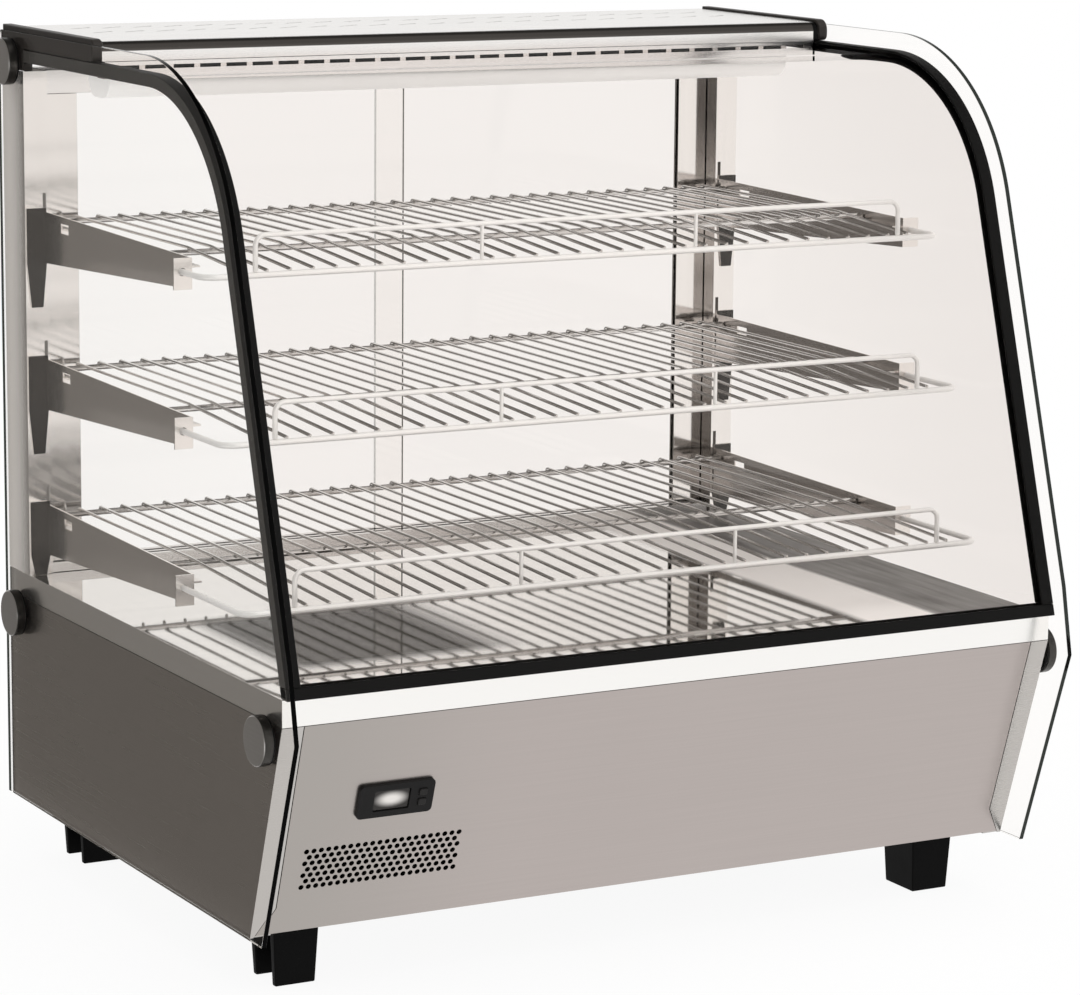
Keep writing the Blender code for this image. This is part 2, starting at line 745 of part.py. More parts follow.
def side_seal(name, side):
    """A U-shaped rubber edge that grips the front glass beside one side glass."""
    outer, inner = -SEAL_LIP, FRONT_GLASS + SEAL_LIP
    groove = SEAL_WIDTH - SEAL_BASE
    rear, free = HALF_BASE, HALF_BASE - SEAL_WIDTH
    section = [
        (outer, rear),
        (outer, free),
        (-GAP, free),
        (-GAP, free + groove),
        (FRONT_GLASS + GAP, free + groove),
        (FRONT_GLASS + GAP, free),
        (inner, free),
        (inner, rear),
    ]
    foot_z = SILL_SEAL_Z + SILL_SEAL_HEIGHT + GAP
    rear_y = POST_FRONT_Y - GAP
    paths = [glass_path(FRONT_INSET + depth, foot_z, rear_y) for depth, x in section]
    strip = bmesh.new()
    rings = []
    for station in zip(*paths):
        rings.append(
            [
                strip.verts.new((side * x, y, z))
                for (y, z), (depth, x) in zip(station, section)
            ]
        )
    count = len(section)
    for low, high in zip(rings, rings[1:]):
        for i in range(count):
            j = (i + 1) % count
            strip.faces.new((low[i], low[j], high[j], high[i]))
    strip.faces.new(rings[0])
    strip.faces.new(rings[-1])
    make_piece("seal_" + name, strip, RUBBER)


def sill_seal():
    """The rubber strip under the front glass, standing on the front edge of the deck."""
    front = slope_point(FRONT_INSET, SILL_SEAL_Z)[0] - SEAL_LIP
    rear = slope_point(FRONT_INSET + FRONT_GLASS, SILL_SEAL_Z)[0] + SEAL_LIP
    top = SILL_SEAL_Z + SILL_SEAL_HEIGHT
    slot_foot = FRONT_GLASS_FOOT_Z - GAP
    lean = math.tan(FRONT_SLOPE)
    slot = (
        slope_point(FRONT_INSET, slot_foot)[0] - GAP,
        slope_point(FRONT_INSET + FRONT_GLASS, slot_foot)[0] + GAP,
    )
    rise = top - slot_foot
    outline = [
        (front, SILL_SEAL_Z),
        (rear, SILL_SEAL_Z),
        (rear + SILL_SEAL_HEIGHT * lean, top),
        (slot[1] + rise * lean, top),
        (slot[1], slot_foot),
        (slot[0], slot_foot),
        (slot[0] + rise * lean, top),
        (front + SILL_SEAL_HEIGHT * lean, top),
    ]
    strip = bmesh.new()
    extrude(strip, outline, 0, -HALF_BASE, HALF_BASE)
    make_piece("seal_sill", strip, RUBBER)


def fixing(name, side, place):
    """A round cap outside the side glass, on a stem through it."""
    face = CASE_WIDTH / 2 + GAP
    tip = face + FIXING_HEAD
    profile = [
        (HALF_GLASS - FIXING_STEM_REACH, FIXING_STEM_RADIUS),
        (face, FIXING_STEM_RADIUS),
        (face, FIXING_RADIUS),
        (tip - FIXING_EDGE, FIXING_RADIUS),
        (tip, FIXING_RADIUS - FIXING_EDGE),
    ]
    cap = bmesh.new()
    turned(cap, [(side * x, radius) for x, radius in profile], 0, place, 16)
    make_piece("fixing_" + name, cap, STEEL, (side * face, *place), smooth=True)


# Hood and lamp

def hood_top():
    """A folded top sheet: rear flange, slotted roof, round nose and a lip under it."""
    def skin(depth):
        top = HOOD_TOP_Z - depth
        centre = (HOOD_FRONT_Y + HOOD_NOSE_RADIUS, HOOD_TOP_Z - HOOD_NOSE_RADIUS)
        nose = arc(centre, HOOD_NOSE_RADIUS - depth, math.pi / 2, math.pi, 5)
        rear = CAP_REAR_Y - depth
        low = HOOD_LIP_Z + depth
        return [(rear, CAP_BOTTOM_Z + SHEET), (rear, top)] + nose + [
            (HOOD_FRONT_Y + depth, low),
            (HOOD_FRONT_Y + HOOD_LIP, low),
        ]

    sheet = bmesh.new()
    extrude(sheet, skin(0.0) + skin(SHEET)[::-1], 0, -HOOD_HALF, HOOD_HALF)
    piece = make_piece("hood_top", sheet, STEEL)
    slots = bmesh.new()
    middle = (TOP_SLOTS - 1) / 2
    for row in range(TOP_SLOT_ROWS):
        y = TOP_SLOT_FRONT_Y + row * TOP_SLOT_ROW_GAP
        for i in range(TOP_SLOTS):
            x = (i - middle) * TOP_SLOT_PITCH
            half, lean, width = TOP_SLOT_LENGTH / 2, TOP_SLOT_LEAN / 2, TOP_SLOT_WIDTH / 2
            outline = [
                (x - half, y - lean - width),
                (x + half, y + lean - width),
                (x + half, y + lean + width),
                (x - half, y - lean + width),
            ]
            extrude(slots, outline, 2, HOOD_TOP_Z - SHEET - OVERRUN, HOOD_TOP_Z + OVERRUN)
    combine(piece, slots, "DIFFERENCE")


def hood_cap(name, side):
    front, rear, low, high = CAP_FRONT_Y, CAP_REAR_Y, CAP_BOTTOM_Z, CAP_TOP_Z
    r = CAP_NOSE_RADIUS
    eave = high - CAP_FRONT_HEIGHT
    outline = [(rear, low), (rear, high)]
    outline += arc((front + r, high - r), r, math.pi / 2, math.pi, 4)
    outline += arc((front + r / 2, eave + r / 2), r / 2, math.pi, 3 * math.pi / 2, 3)
    outline += [(POST_FRONT_Y, eave), (POST_FRONT_Y, low)]
    cap = bmesh.new()
    extrude(cap, outline, 0, side * CAP_INNER_X, side * HALF_BASE)
    piece = make_piece("hood_cap_" + name, cap, BLACK)
    hole = bmesh.new()
    stem_hole(hole, side, fixing_places()["top"])
    combine(piece, hole, "DIFFERENCE")


def lamp_housing():
    """The sheet under the hood that carries the lamp, with a slotted front wall."""
    front, top, low = HOOD_FRONT_Y + GAP, HOOD_LIP_Z - GAP, HOUSING_BOTTOM_Z
    outline = [
        (front, low),
        (front + HOUSING_FOOT, low),
        (front + HOUSING_FOOT, low + SHEET),
        (front + SHEET, low + SHEET),
        (front + SHEET, top - SHEET),
        (HOUSING_REAR_Y, top - SHEET),
        (HOUSING_REAR_Y, top),
        (front, top),
    ]
    sheet = bmesh.new()
    extrude(sheet, outline, 0, -HOUSING_HALF, HOUSING_HALF)
    piece = make_piece("lamp_housing", sheet, STEEL)
    slots = bmesh.new()
    middle = (DASH_SLOTS - 1) / 2
    for i in range(DASH_SLOTS):
        x = (i - middle) * DASH_PITCH
        low = (x - DASH_LENGTH / 2, front - OVERRUN, DASH_Z - DASH_HEIGHT / 2)
        high = (x + DASH_LENGTH / 2, front + SHEET + OVERRUN / 2, DASH_Z + DASH_HEIGHT / 2)
        box(slots, low, high)
    combine(piece, slots, "DIFFERENCE")


def lamp():
    """A tube lamp with an end holder at each end, hung from the housing."""
    roof = HOOD_LIP_Z - GAP - SHEET - GAP
    z = roof - LAMP_HOLDER
    half = LAMP_LENGTH / 2
    tube = bmesh.new()
    extrude(tube, ring((LAMP_Y, z), LAMP_RADIUS, 12), 0, -half, half)
    piece = make_piece("lamp_tube", tube, WHITE, smooth=True)
    holders = bmesh.new()
    for name, side in SIDES:
        inner, outer = side * (half - LAMP_HOLDER), side * (half + SHEET)
        low = (min(inner, outer), LAMP_Y - LAMP_RADIUS - SHEET, z - LAMP_RADIUS - SHEET)
        box(holders, low, (max(inner, outer), LAMP_Y + LAMP_RADIUS + SHEET, roof))
    combine(piece, holders, "UNION")


def lamp_cover():
    """A white trough under the lamp, open above, with flat ends."""
    roof = HOOD_LIP_Z - GAP - SHEET - GAP

    def trough(depth):
        half = COVER_WIDTH / 2 - depth
        low = roof - COVER_DROP + depth
        bend = COVER_DROP / 2 - depth
        left = arc((LAMP_Y - half + bend, low + bend), bend, math.pi, 3 * math.pi / 2, 5)
        right = arc((LAMP_Y + half - bend, low + bend), bend, 3 * math.pi / 2, 2 * math.pi, 5)
        return [(LAMP_Y - half, roof)] + left + right + [(LAMP_Y + half, roof)]

    cover = bmesh.new()
    extrude(cover, trough(0.0), 0, -COVER_HALF_LENGTH, COVER_HALF_LENGTH)
    piece = make_piece("lamp_cover", cover, WHITE, smooth=True)
    inside = bmesh.new()
    outline = trough(COVER_WALL)
    outline[0] = (outline[0][0], roof + OVERRUN)
    outline[-1] = (outline[-1][0], roof + OVERRUN)
    reach = COVER_HALF_LENGTH - COVER_WALL
    extrude(inside, outline, 0, -reach, reach)
    combine(piece, inside, "DIFFERENCE")


# Rear frame and doors

def slot_heights():
    """Three slots at each rack's level: a spare one and the two that take the bracket's hooks."""
    heights = []
    for number in (1, 2, 3):
        spare = rack_level(number) - HOOK_HEIGHT + SLOT_PITCH
        heights += [spare - i * SLOT_PITCH for i in range(SLOTS_PER_BRACKET)]
    return heights


def rear_post(name, side):
    """A folded channel, open to the rear, with bracket slots in its front."""
    inner, outer = POST_INNER_X, HALF_BASE
    front, rear = POST_FRONT_Y, BASE_REAR_Y
    outline = [
        (side * inner, rear),
        (side * inner, front),
        (side * outer, front),
        (side * outer, rear),
        (side * (outer - SHEET), rear),
        (side * (outer - SHEET), front + SHEET),
        (side * (inner + SHEET), front + SHEET),
        (side * (inner + SHEET), rear),
    ]
    channel = bmesh.new()
    extrude(channel, outline, 2, POST_FOOT_Z, POST_TOP_Z)
    piece = make_piece("rear_post_" + name, channel, STEEL)
    slots = bmesh.new()
    x = side * (BRACKET_X + BRACKET_SHEET / 2)
    for z in slot_heights():
        low = (x - SLOT_WIDTH / 2, front - OVERRUN, z - SLOT_HEIGHT / 2)
        box(slots, low, (x + SLOT_WIDTH / 2, front + SHEET + OVERRUN / 2, z + SLOT_HEIGHT / 2))
    combine(piece, slots, "DIFFERENCE")


def door_planes():
    """The middle of each door's glass: the left door runs in front of the right one."""
    return {"left": DOOR_FRONT_Y, "right": DOOR_FRONT_Y + DOOR_STEP_Y}


def door_tracks():
    """The header and the sill, each with two grooves for the door glasses."""
    half = POST_INNER_X - GAP
    for name, low, high, rear, groove in (
        ("door_header", TRACK_BOTTOM_Z, CAP_BOTTOM_Z, BASE_REAR_Y, (TRACK_BOTTOM_Z, TRACK_GROOVE)),
        ("door_sill", POST_FOOT_Z, SILL_TOP_Z, SILL_REAR_Y, (SILL_TOP_Z, -SILL_GROOVE)),
    ):
        bar = bmesh.new()
        box(bar, (-half, TRACK_FRONT_Y, low), (half, rear, high))
        piece = make_piece(name, bar, STEEL)
        grooves = bmesh.new()
        mouth, depth = groove
        ends = sorted((mouth - math.copysign(OVERRUN, depth), mouth + depth))
        for y in door_planes().values():
            reach = DOOR_GLASS / 2 + 2 * GAP
            low_corner = (-half - OVERRUN, y - reach, ends[0])
            box(grooves, low_corner, (half + OVERRUN, y + reach, ends[1]))
        combine(piece, grooves, "DIFFERENCE")


def door(name, side):
    y = door_planes()[name]
    outer = side * (POST_INNER_X - STILE_LIP / 2)
    lap = -side * DOOR_LAP
    foot_z = SILL_TOP_Z - SILL_GROOVE + GAP
    pane = bmesh.new()
    low = (min(outer, lap), y - DOOR_GLASS / 2, foot_z)
    box(pane, low, (max(outer, lap), y + DOOR_GLASS / 2, DOOR_TOP_Z))
    make_piece("door_glass_" + name, pane, CLEAR)
    edge = POST_INNER_X - 2 * GAP
    free = edge - STILE_WIDTH
    rear, front = y + STILE_DEPTH / 2, y - STILE_DEPTH / 2
    slot = DOOR_GLASS / 2 + GAP
    back = POST_INNER_X - STILE_LIP / 2 + GAP
    scoop = free + STILE_LIP
    outline = [
        (side * free, y - slot),
        (side * free, front),
        (side * edge, front),
        (side * edge, rear),
        (side * (scoop + STILE_SCOOP_WIDTH), rear),
        (side * (scoop + STILE_SCOOP_WIDTH - STILE_SCOOP / 2), y + slot + SHEET / 2),
        (side * scoop, y + slot + SHEET / 2),
        (side * (scoop - STILE_SCOOP / 2), rear),
        (side * free, rear),
        (side * free, y + slot),
        (side * back, y + slot),
        (side * back, y - slot),
    ]
    stile = bmesh.new()
    extrude(stile, outline, 2, SILL_TOP_Z + 2 * GAP, TRACK_BOTTOM_Z - 2 * GAP)
    make_piece("door_stile_" + name, stile, STEEL)


# Racks and brackets

def rack_level(number):
    """The height of a rack's bracket top, counted from the top rack, number 1."""
    return TOP_BRACKET_Z - (number - 1) * RACK_SPACING


def rod_height(number):
    """The level of a rack's rear rod."""
    return rack_level(number) - ROD_DROP


def weld_rod_height(number):
    """The level of the middle rod, which clears the wires that aren't welded to it."""
    return rod_height(number) - WIRE_SEAT - GAP


def arm_height(number):
    """The level of a rack's front rod and of the arms that plug into the brackets."""
    return rack_level(number) - ARM_DROP


def rack_front(number):
    return TOP_RACK_FRONT_Y - (number - 1) * RACK_STEP_Y


def bracket(name, side, number):
    """A tapered plate hooked in the post, folded outwards at both ends, with a ledge for the rack."""
    top = rack_level(number)
    rear, front = POST_FRONT_Y - GAP, BRACKET_FRONT_Y
    inner, outer = side * BRACKET_X, side * (BRACKET_X + BRACKET_SHEET)
    front_top = top - BRACKET_FRONT_DROP
    outline = [(rear, top)]
    for z in (top - HOOK_HEIGHT, top - HOOK_HEIGHT - SLOT_PITCH):
        high, low = z + HOOK_HEIGHT / 2, z - HOOK_HEIGHT / 2
        behind = POST_FRONT_Y + SHEET + GAP
        outline += [
            (rear, high),
            (rear + HOOK_REACH, high),
            (rear + HOOK_REACH, low - HOOK_TURN),
            (behind, low - HOOK_TURN),
            (behind, low),
            (rear, low),
        ]
    outline += [
        (rear, top - BRACKET_REAR_HEIGHT),
        (front, front_top - BRACKET_FRONT_HEIGHT),
        (front, front_top),
    ]
    web = bmesh.new()
    extrude(web, outline, 0, inner, outer)
    piece = make_piece("bracket_%s_%d" % (name, number), web, STEEL)
    folds = bmesh.new()
    tab_end = side * (BRACKET_X + BRACKET_TAB)
    low = (min(inner, tab_end), front - BRACKET_SHEET / 2, front_top - BRACKET_FRONT_HEIGHT)
    box(folds, low, (max(inner, tab_end), front + BRACKET_SHEET / 2, front_top))
    ledge_top = weld_rod_height(number) - ROD_RADIUS * math.cos(math.pi / 6) - GAP
    ledge_end = side * (BRACKET_X - LEDGE)
    middle = (inner + outer) / 2
    low = (min(middle, ledge_end), front + 2 * BRACKET_SHEET, ledge_top - BRACKET_SHEET)
    box(folds, low, (max(middle, ledge_end), rear - HOOK_REACH, ledge_top))
    combine(piece, folds, "UNION")
    root = bmesh.new()
    waist, tip = top - BRACKET_REAR_HEIGHT, max(top - BRACKET_ROOT_DROP, DECK_Z + GAP)
    outline = [
        (inner, top + BRACKET_ROOT_RISE),
        (inner, waist),
        (inner + side * BRACKET_ROOT_TAPER, tip),
        (side * (ROOT_X - BRACKET_ROOT_TAPER), tip),
        (side * ROOT_X, waist),
        (side * ROOT_X, top + BRACKET_ROOT_RISE),
    ]
    extrude(root, outline, 1, rear - BRACKET_SHEET, rear)
    combine(piece, root, "UNION")
    holes = bmesh.new()
    arm_hole = ring((side * ARM_X, arm_height(number)), TAB_HOLE_RADIUS, 12)
    extrude(holes, arm_hole, 1, front - BRACKET_SHEET, front + BRACKET_SHEET)
    z, half = top - BRACKET_HOLE_DROP + BRACKET_HOLE / 2, BRACKET_HOLE / 2
    reach = BRACKET_HOLE_LENGTH / 2
    low = (min(inner, outer) - OVERRUN / 2, BRACKET_HOLE_Y - reach, z - half)
    box(holes, low, (max(inner, outer) + OVERRUN / 2, BRACKET_HOLE_Y + reach, z + half))
    combine(piece, holes, "DIFFERENCE")


def rack(number):
    """Wires over cross rods, sloped from the middle down to a rod whose arms plug into the tabs.

    Three wires are welded to the middle rod, and the others pass just over it.
    """
    z, arm_z, front = rod_height(number), arm_height(number), rack_front(number)
    tip = BRACKET_FRONT_Y + ARM_PAST_TAB
    frame = bmesh.new()
    corners = [(-ARM_X, tip, arm_z), (-ARM_X, front, arm_z), (ARM_X, front, arm_z), (ARM_X, tip, arm_z)]
    rod(frame, fillet_path(corners, ARM_BEND, 3), ROD_RADIUS, 6)
    half = BRACKET_X - 2 * GAP
    mid_z = weld_rod_height(number)
    for y, height in ((MID_ROD_Y, mid_z), (REAR_ROD_Y, z)):
        extrude(frame, ring((y, height), ROD_RADIUS, 6), 0, -half, half)
    piece = make_piece("rack_%d" % number, frame, WIRE)
    wires = bmesh.new()
    rise = ROD_RADIUS * math.cos(math.pi / 6) - WIRE_SEAT
    low, low_front = z + rise, arm_z + rise
    high, high_front = low + WIRE_SIDE, low_front + WIRE_SIDE
    hook = WIRE_END_Y
    start = front - ROD_RADIUS / 2
    outline = [
        (start, low_front),
        (MID_ROD_Y, low),
        (hook - WIRE_SIDE, low),
        (hook, low - WIRE_HOOK_DROP),
        (hook + WIRE_SIDE, low - WIRE_HOOK_DROP),
        (hook + WIRE_SIDE / 2, high),
        (MID_ROD_Y, high),
        (start, high_front),
    ]
    for i in range(WIRE_COUNT):
        x = (i - (WIRE_COUNT - 1) / 2) * WIRE_PITCH
        extrude(wires, outline, 0, x - WIRE_SIDE / 2, x + WIRE_SIDE / 2)
    combine(piece, wires, "UNION")
    welds = bmesh.new()
    reach, width = ROD_RADIUS / 3, WIRE_SIDE / 3
    for i in WELD_WIRES:
        x = (i - (WIRE_COUNT - 1) / 2) * WIRE_PITCH
        corner = (x - width, MID_ROD_Y - reach, mid_z)
        box(welds, corner, (x + width, MID_ROD_Y + reach, low + WIRE_SIDE / 2))
    combine(piece, welds, "UNION")


def fence(number):
    """A bent rail on the rack's front rod, with two short posts between its ends."""
    y = rack_front(number)
    low = arm_height(number) + ROD_RADIUS + GAP
    high = arm_height(number) + FENCE_HEIGHT
    rail = bmesh.new()
    corners = [(-FENCE_X, y, low), (-FENCE_X, y, high), (FENCE_X, y, high), (FENCE_X, y, low)]
    rod(rail, fillet_path(corners, FENCE_BEND, 4), FENCE_RADIUS, 6)
    piece = make_piece("fence_%d" % number, rail, WIRE, (0.0, y, low), smooth=True)
    posts = bmesh.new()
    for name, side in SIDES:
        post = ring((side * FENCE_POST_X, y), FENCE_POST_RADIUS, 6)
        extrude(posts, post, 2, low, high)
    combine(piece, posts, "UNION")


# Controls

def controller():
    """A snap-in bezel with a recessed window and two short keys."""
    bezel = bmesh.new()
    panel_prism(
        bezel, rounded(BEZEL_WIDTH, BEZEL_HEIGHT, BEZEL_RADIUS), BEZEL_X, BEZEL_Z, GAP, BEZEL_PROUD
    )
    piece = make_piece("controller_bezel", bezel, BLACK)
    body = bmesh.new()
    width = BEZEL_WIDTH - 2 * BEZEL_BODY_MARGIN
    height = BEZEL_HEIGHT - 2 * BEZEL_BODY_MARGIN
    shape = rounded(width, height, BEZEL_RADIUS)
    panel_prism(body, shape, BEZEL_X, BEZEL_Z, -BEZEL_BODY_DEPTH, BEZEL_PROUD - BEZEL_FACE)
    combine(piece, body, "UNION")
    holes = bmesh.new()
    recess = WINDOW_DEPTH + WINDOW_PLATE
    shape = rounded(WINDOW_WIDTH + 2 * GAP, WINDOW_HEIGHT + 2 * GAP, SHEET)
    window_x = BEZEL_X + WINDOW_SHIFT
    panel_prism(holes, shape, window_x, BEZEL_Z, BEZEL_PROUD - recess - GAP, BEZEL_PROUD + OVERRUN)
    for row in (-1, 1):
        shape = rounded(KEY_WIDTH + 2 * GAP, KEY_HEIGHT + 2 * GAP, SHEET)
        shape = [(u, v + row * KEY_SPREAD / 2) for u, v in shape]
        floor = BEZEL_PROUD - KEY_DEPTH - KEY_TRAVEL - GAP
        panel_prism(holes, shape, BEZEL_X + KEY_SHIFT, BEZEL_Z, floor, BEZEL_PROUD + OVERRUN)
    combine(piece, holes, "DIFFERENCE")

    window = bmesh.new()
    shape = rounded(WINDOW_WIDTH, WINDOW_HEIGHT, SHEET)
    back = BEZEL_PROUD - recess
    panel_prism(window, shape, window_x, BEZEL_Z, back, BEZEL_PROUD - WINDOW_DEPTH)
    make_piece("display_window", window, GREY)

    for label, row in (("up", 1), ("down", -1)):
        key = bmesh.new()
        shape = rounded(KEY_WIDTH, KEY_HEIGHT, SHEET)
        shape = [(u, v + row * KEY_SPREAD / 2) for u, v in shape]
        back = BEZEL_PROUD - KEY_DEPTH
        panel_prism(key, shape, BEZEL_X + KEY_SHIFT, BEZEL_Z, back, BEZEL_PROUD + KEY_PROUD)
        place = on_panel(KEY_SHIFT, row * KEY_SPREAD / 2, BEZEL_X, BEZEL_Z, BEZEL_PROUD)
        make_piece("key_" + label, key, BLACK, place)


def rear_switches():
    """A twin switch frame in the back plate, with two rockers on their pivots."""
    out = BACK_Y + GAP
    frame = bmesh.new()
    half_w, half_h = SWITCH_WIDTH / 2, SWITCH_HEIGHT / 2
    low = (SWITCH_X - half_w, out, SWITCH_Z - half_h)
    box(frame, low, (SWITCH_X + half_w, out + SWITCH_FACE, SWITCH_Z + half_h))
    piece = make_piece("switch_frame", frame, BLACK)
    body = bmesh.new()
    half_w, half_h = half_w - BEZEL_BODY_MARGIN, half_h - BEZEL_BODY_MARGIN
    low = (SWITCH_X - half_w, BACK_Y - SWITCH_DEPTH, SWITCH_Z - half_h)
    box(body, low, (SWITCH_X + half_w, out + SWITCH_FACE / 2, SWITCH_Z + half_h))
    combine(piece, body, "UNION")
    wells = bmesh.new()
    pivot_y = out + SWITCH_FACE - ROCKER_THICK / 2
    room = ROCKER_WIDTH / 2 + GAP
    for name, side in SIDES:
        x = SWITCH_X + side * ROCKER_SPREAD / 2
        low = (x - room, pivot_y - ROCKER_THICK, SWITCH_Z - ROCKER_HEIGHT / 2)
        box(wells, low, (x + room, out + SWITCH_FACE + OVERRUN, SWITCH_Z + ROCKER_HEIGHT / 2))
    combine(piece, wells, "DIFFERENCE")
    for label, side in (("light", LEFT), ("power", RIGHT)):
        x = SWITCH_X + side * ROCKER_SPREAD / 2
        tip = ROCKER_HEIGHT / 2 - FOOT_TAPER
        face = ROCKER_THICK / 2
        drop = tip * math.sin(ROCKER_TILT)
        outline = [
            (pivot_y - face / 2, SWITCH_Z - tip / 2),
            (pivot_y + face - drop, SWITCH_Z - tip),
            (pivot_y + face, SWITCH_Z),
            (pivot_y + face, SWITCH_Z + tip),
            (pivot_y - face / 2, SWITCH_Z + tip / 2),
        ]
        rocker = bmesh.new()
        extrude(rocker, outline, 0, x - ROCKER_WIDTH / 2, x + ROCKER_WIDTH / 2)
        make_piece("rocker_" + label, rocker, BLACK, (x, pivot_y, SWITCH_Z))


def cable_gland():
    """The bare inlet for the mains lead: a round bush with a bore, seated in the back plate."""
    bush = bmesh.new()
    neck = GLAND_BORE + SHEET
    profile = [
        (BACK_Y - SHEET - OVERRUN, neck),
        (BACK_Y + GAP, neck),
        (BACK_Y + GAP, GLAND_RADIUS),
        (BACK_Y + GLAND_PROUD / 2, GLAND_RADIUS),
        (BACK_Y + GLAND_PROUD, neck),
    ]
    turned(bush, profile, 1, (GLAND_X, GLAND_Z), 16)
    piece = make_piece("cable_gland", bush, BLACK)
    bore = bmesh.new()
    start, end = BACK_Y - SHEET - 2 * OVERRUN, BACK_Y + GLAND_PROUD + OVERRUN
    extrude(bore, ring((GLAND_X, GLAND_Z), GLAND_BORE, 12), 1, start, end)
    combine(piece, bore, "DIFFERENCE")


# Heater and fan

def heater():
    """A tubular element bent in one loop under the deck, on two legs with feet on the floor."""
    z = HEATER_Z
    half, front, rear = HEATER_HALF, HEATER_FRONT_Y, HEATER_REAR_Y
    corners = [(-half / 2, rear, z), (-half, rear, z), (-half, front, z), (half, front, z)]
    corners += [(half, rear, z), (-half / 4, rear, z)]
    loop = bmesh.new()
    rod(loop, fillet_path(corners, HEATER_BEND, 3), HEATER_RADIUS, 6)
    piece = make_piece("heater_element", loop, GREY, smooth=True)
    legs = bmesh.new()
    floor = BASE_BOTTOM_Z + 2 * SHEET + 2 * GAP
    for name, side in SIDES:
        x = side * half
        low = (x - HEATER_RADIUS / 2, -HEATER_STAND / 2, floor)
        box(legs, low, (x + HEATER_RADIUS / 2, HEATER_STAND / 2, z))
    combine(piece, legs, "UNION")


def fan():
    """A square fan on the back plate, its blades on a shaft held by four struts."""
    near, far = FAN_Y, BACK_Y - SHEET - GAP
    half = FAN_SIZE / 2
    frame = bmesh.new()
    box(frame, (FAN_X - half, near, FAN_Z - half), (FAN_X + half, far, FAN_Z + half))
    piece = make_piece("fan_frame", frame, BLACK)
    bore = bmesh.new()
    extrude(bore, ring((FAN_X, FAN_Z), FAN_BORE, 20), 1, near - OVERRUN, far + OVERRUN)
    combine(piece, bore, "DIFFERENCE")
    struts = bmesh.new()
    thick = FAN_STRUT / 2
    centre = (FAN_X, FAN_Z)
    rear = far - FAN_STRUT
    extrude(struts, ring(centre, FAN_HUB, 12), 1, rear, far)
    combine(piece, struts, "UNION")
    spokes = bmesh.new()
    reach = FAN_BORE + OVERRUN / 2
    box(spokes, (FAN_X - reach, rear + GAP, FAN_Z - thick), (FAN_X + reach, far - GAP, FAN_Z + thick))
    combine(piece, spokes, "UNION")
    hole = bmesh.new()
    extrude(hole, ring(centre, FAN_SHAFT + GAP, 12), 1, rear - OVERRUN, far + OVERRUN)
    combine(piece, hole, "DIFFERENCE")

    rotor = bmesh.new()
    tail = rear - 2 * GAP
    profile = [
        (near + FAN_STRUT, FAN_HUB - FAN_STRUT / 2),
        (near + 2 * FAN_STRUT, FAN_HUB),
        (tail, FAN_HUB),
        (tail, FAN_SHAFT),
        (far - GAP, FAN_SHAFT),
    ]
    turned(rotor, profile, 1, centre, 14)
    place = (FAN_X, near, FAN_Z)
    piece = make_piece("fan_rotor", rotor, GREY, place)
    blades = bmesh.new()
    reach = FAN_BORE - 4 * GAP - FAN_BLADE
    for i in range(FAN_BLADES):
        turn = 2 * math.pi * i / FAN_BLADES
        out = Vector((math.cos(turn), 0.0, math.sin(turn)))
        across = Vector((-math.sin(turn), 0.0, math.cos(turn)))
        root = FAN_HUB - FAN_BLADE
        corners = []
        for radius in (root, reach):
            width = radius * math.sin(math.pi / FAN_BLADES) * FAN_BLADE_SHARE
            for shift in (-width, width):
                share = (shift + width) / (2 * width)
                y = near + 2 * FAN_STRUT + share * (tail - near - 3 * FAN_STRUT)
                middle = Vector(centre).to_3d()
                base = Vector((middle.x, y, middle.y)) + out * radius + across * shift
                corners.append(base)
        lift = Vector((0.0, FAN_BLADE, 0.0))
        low = [blades.verts.new(c) for c in corners]
        high = [blades.verts.new(c + lift) for c in corners]
        order = (0, 1, 3, 2)
        for a, b in zip(order, order[1:] + order[:1]):
            blades.faces.new((low[a], low[b], high[b], high[a]))
        blades.faces.new([low[k] for k in order])
        blades.faces.new([high[k] for k in order])
    combine(piece, blades, "UNION")


def build():
    clear_scene()
    for name, side in SIDES:
        base_side(name, side)
        side_glass(name, side)
        side_seal(name, side)
        hood_cap(name, side)
        rear_post(name, side)
        door(name, side)
        for row, y in (("front", FOOT_FRONT_Y), ("rear", FOOT_REAR_Y)):
            foot(row + "_" + name, side, y)
        for key, place in fixing_places().items():
            fixing(key + "_" + name, side, place)
        for number in (1, 2, 3):
            bracket(name, side, number)
    for number in (1, 2, 3):
        rack(number)
        fence(number)
    front_panel()
    base_bottom()
    base_back()
    deck_tray()
    front_glass()
    sill_seal()
    hood_top()
    lamp_housing()
    lamp()
    lamp_cover()
    door_tracks()
    controller()
    rear_switches()
    cable_gland()
    heater()
    fan()


build()
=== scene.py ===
"""Looks of the heated display case: fine pieces, finishes, light and camera over its model."""
import json
import math

import bmesh
import bpy
import numpy as np
from mathutils import Matrix, Vector


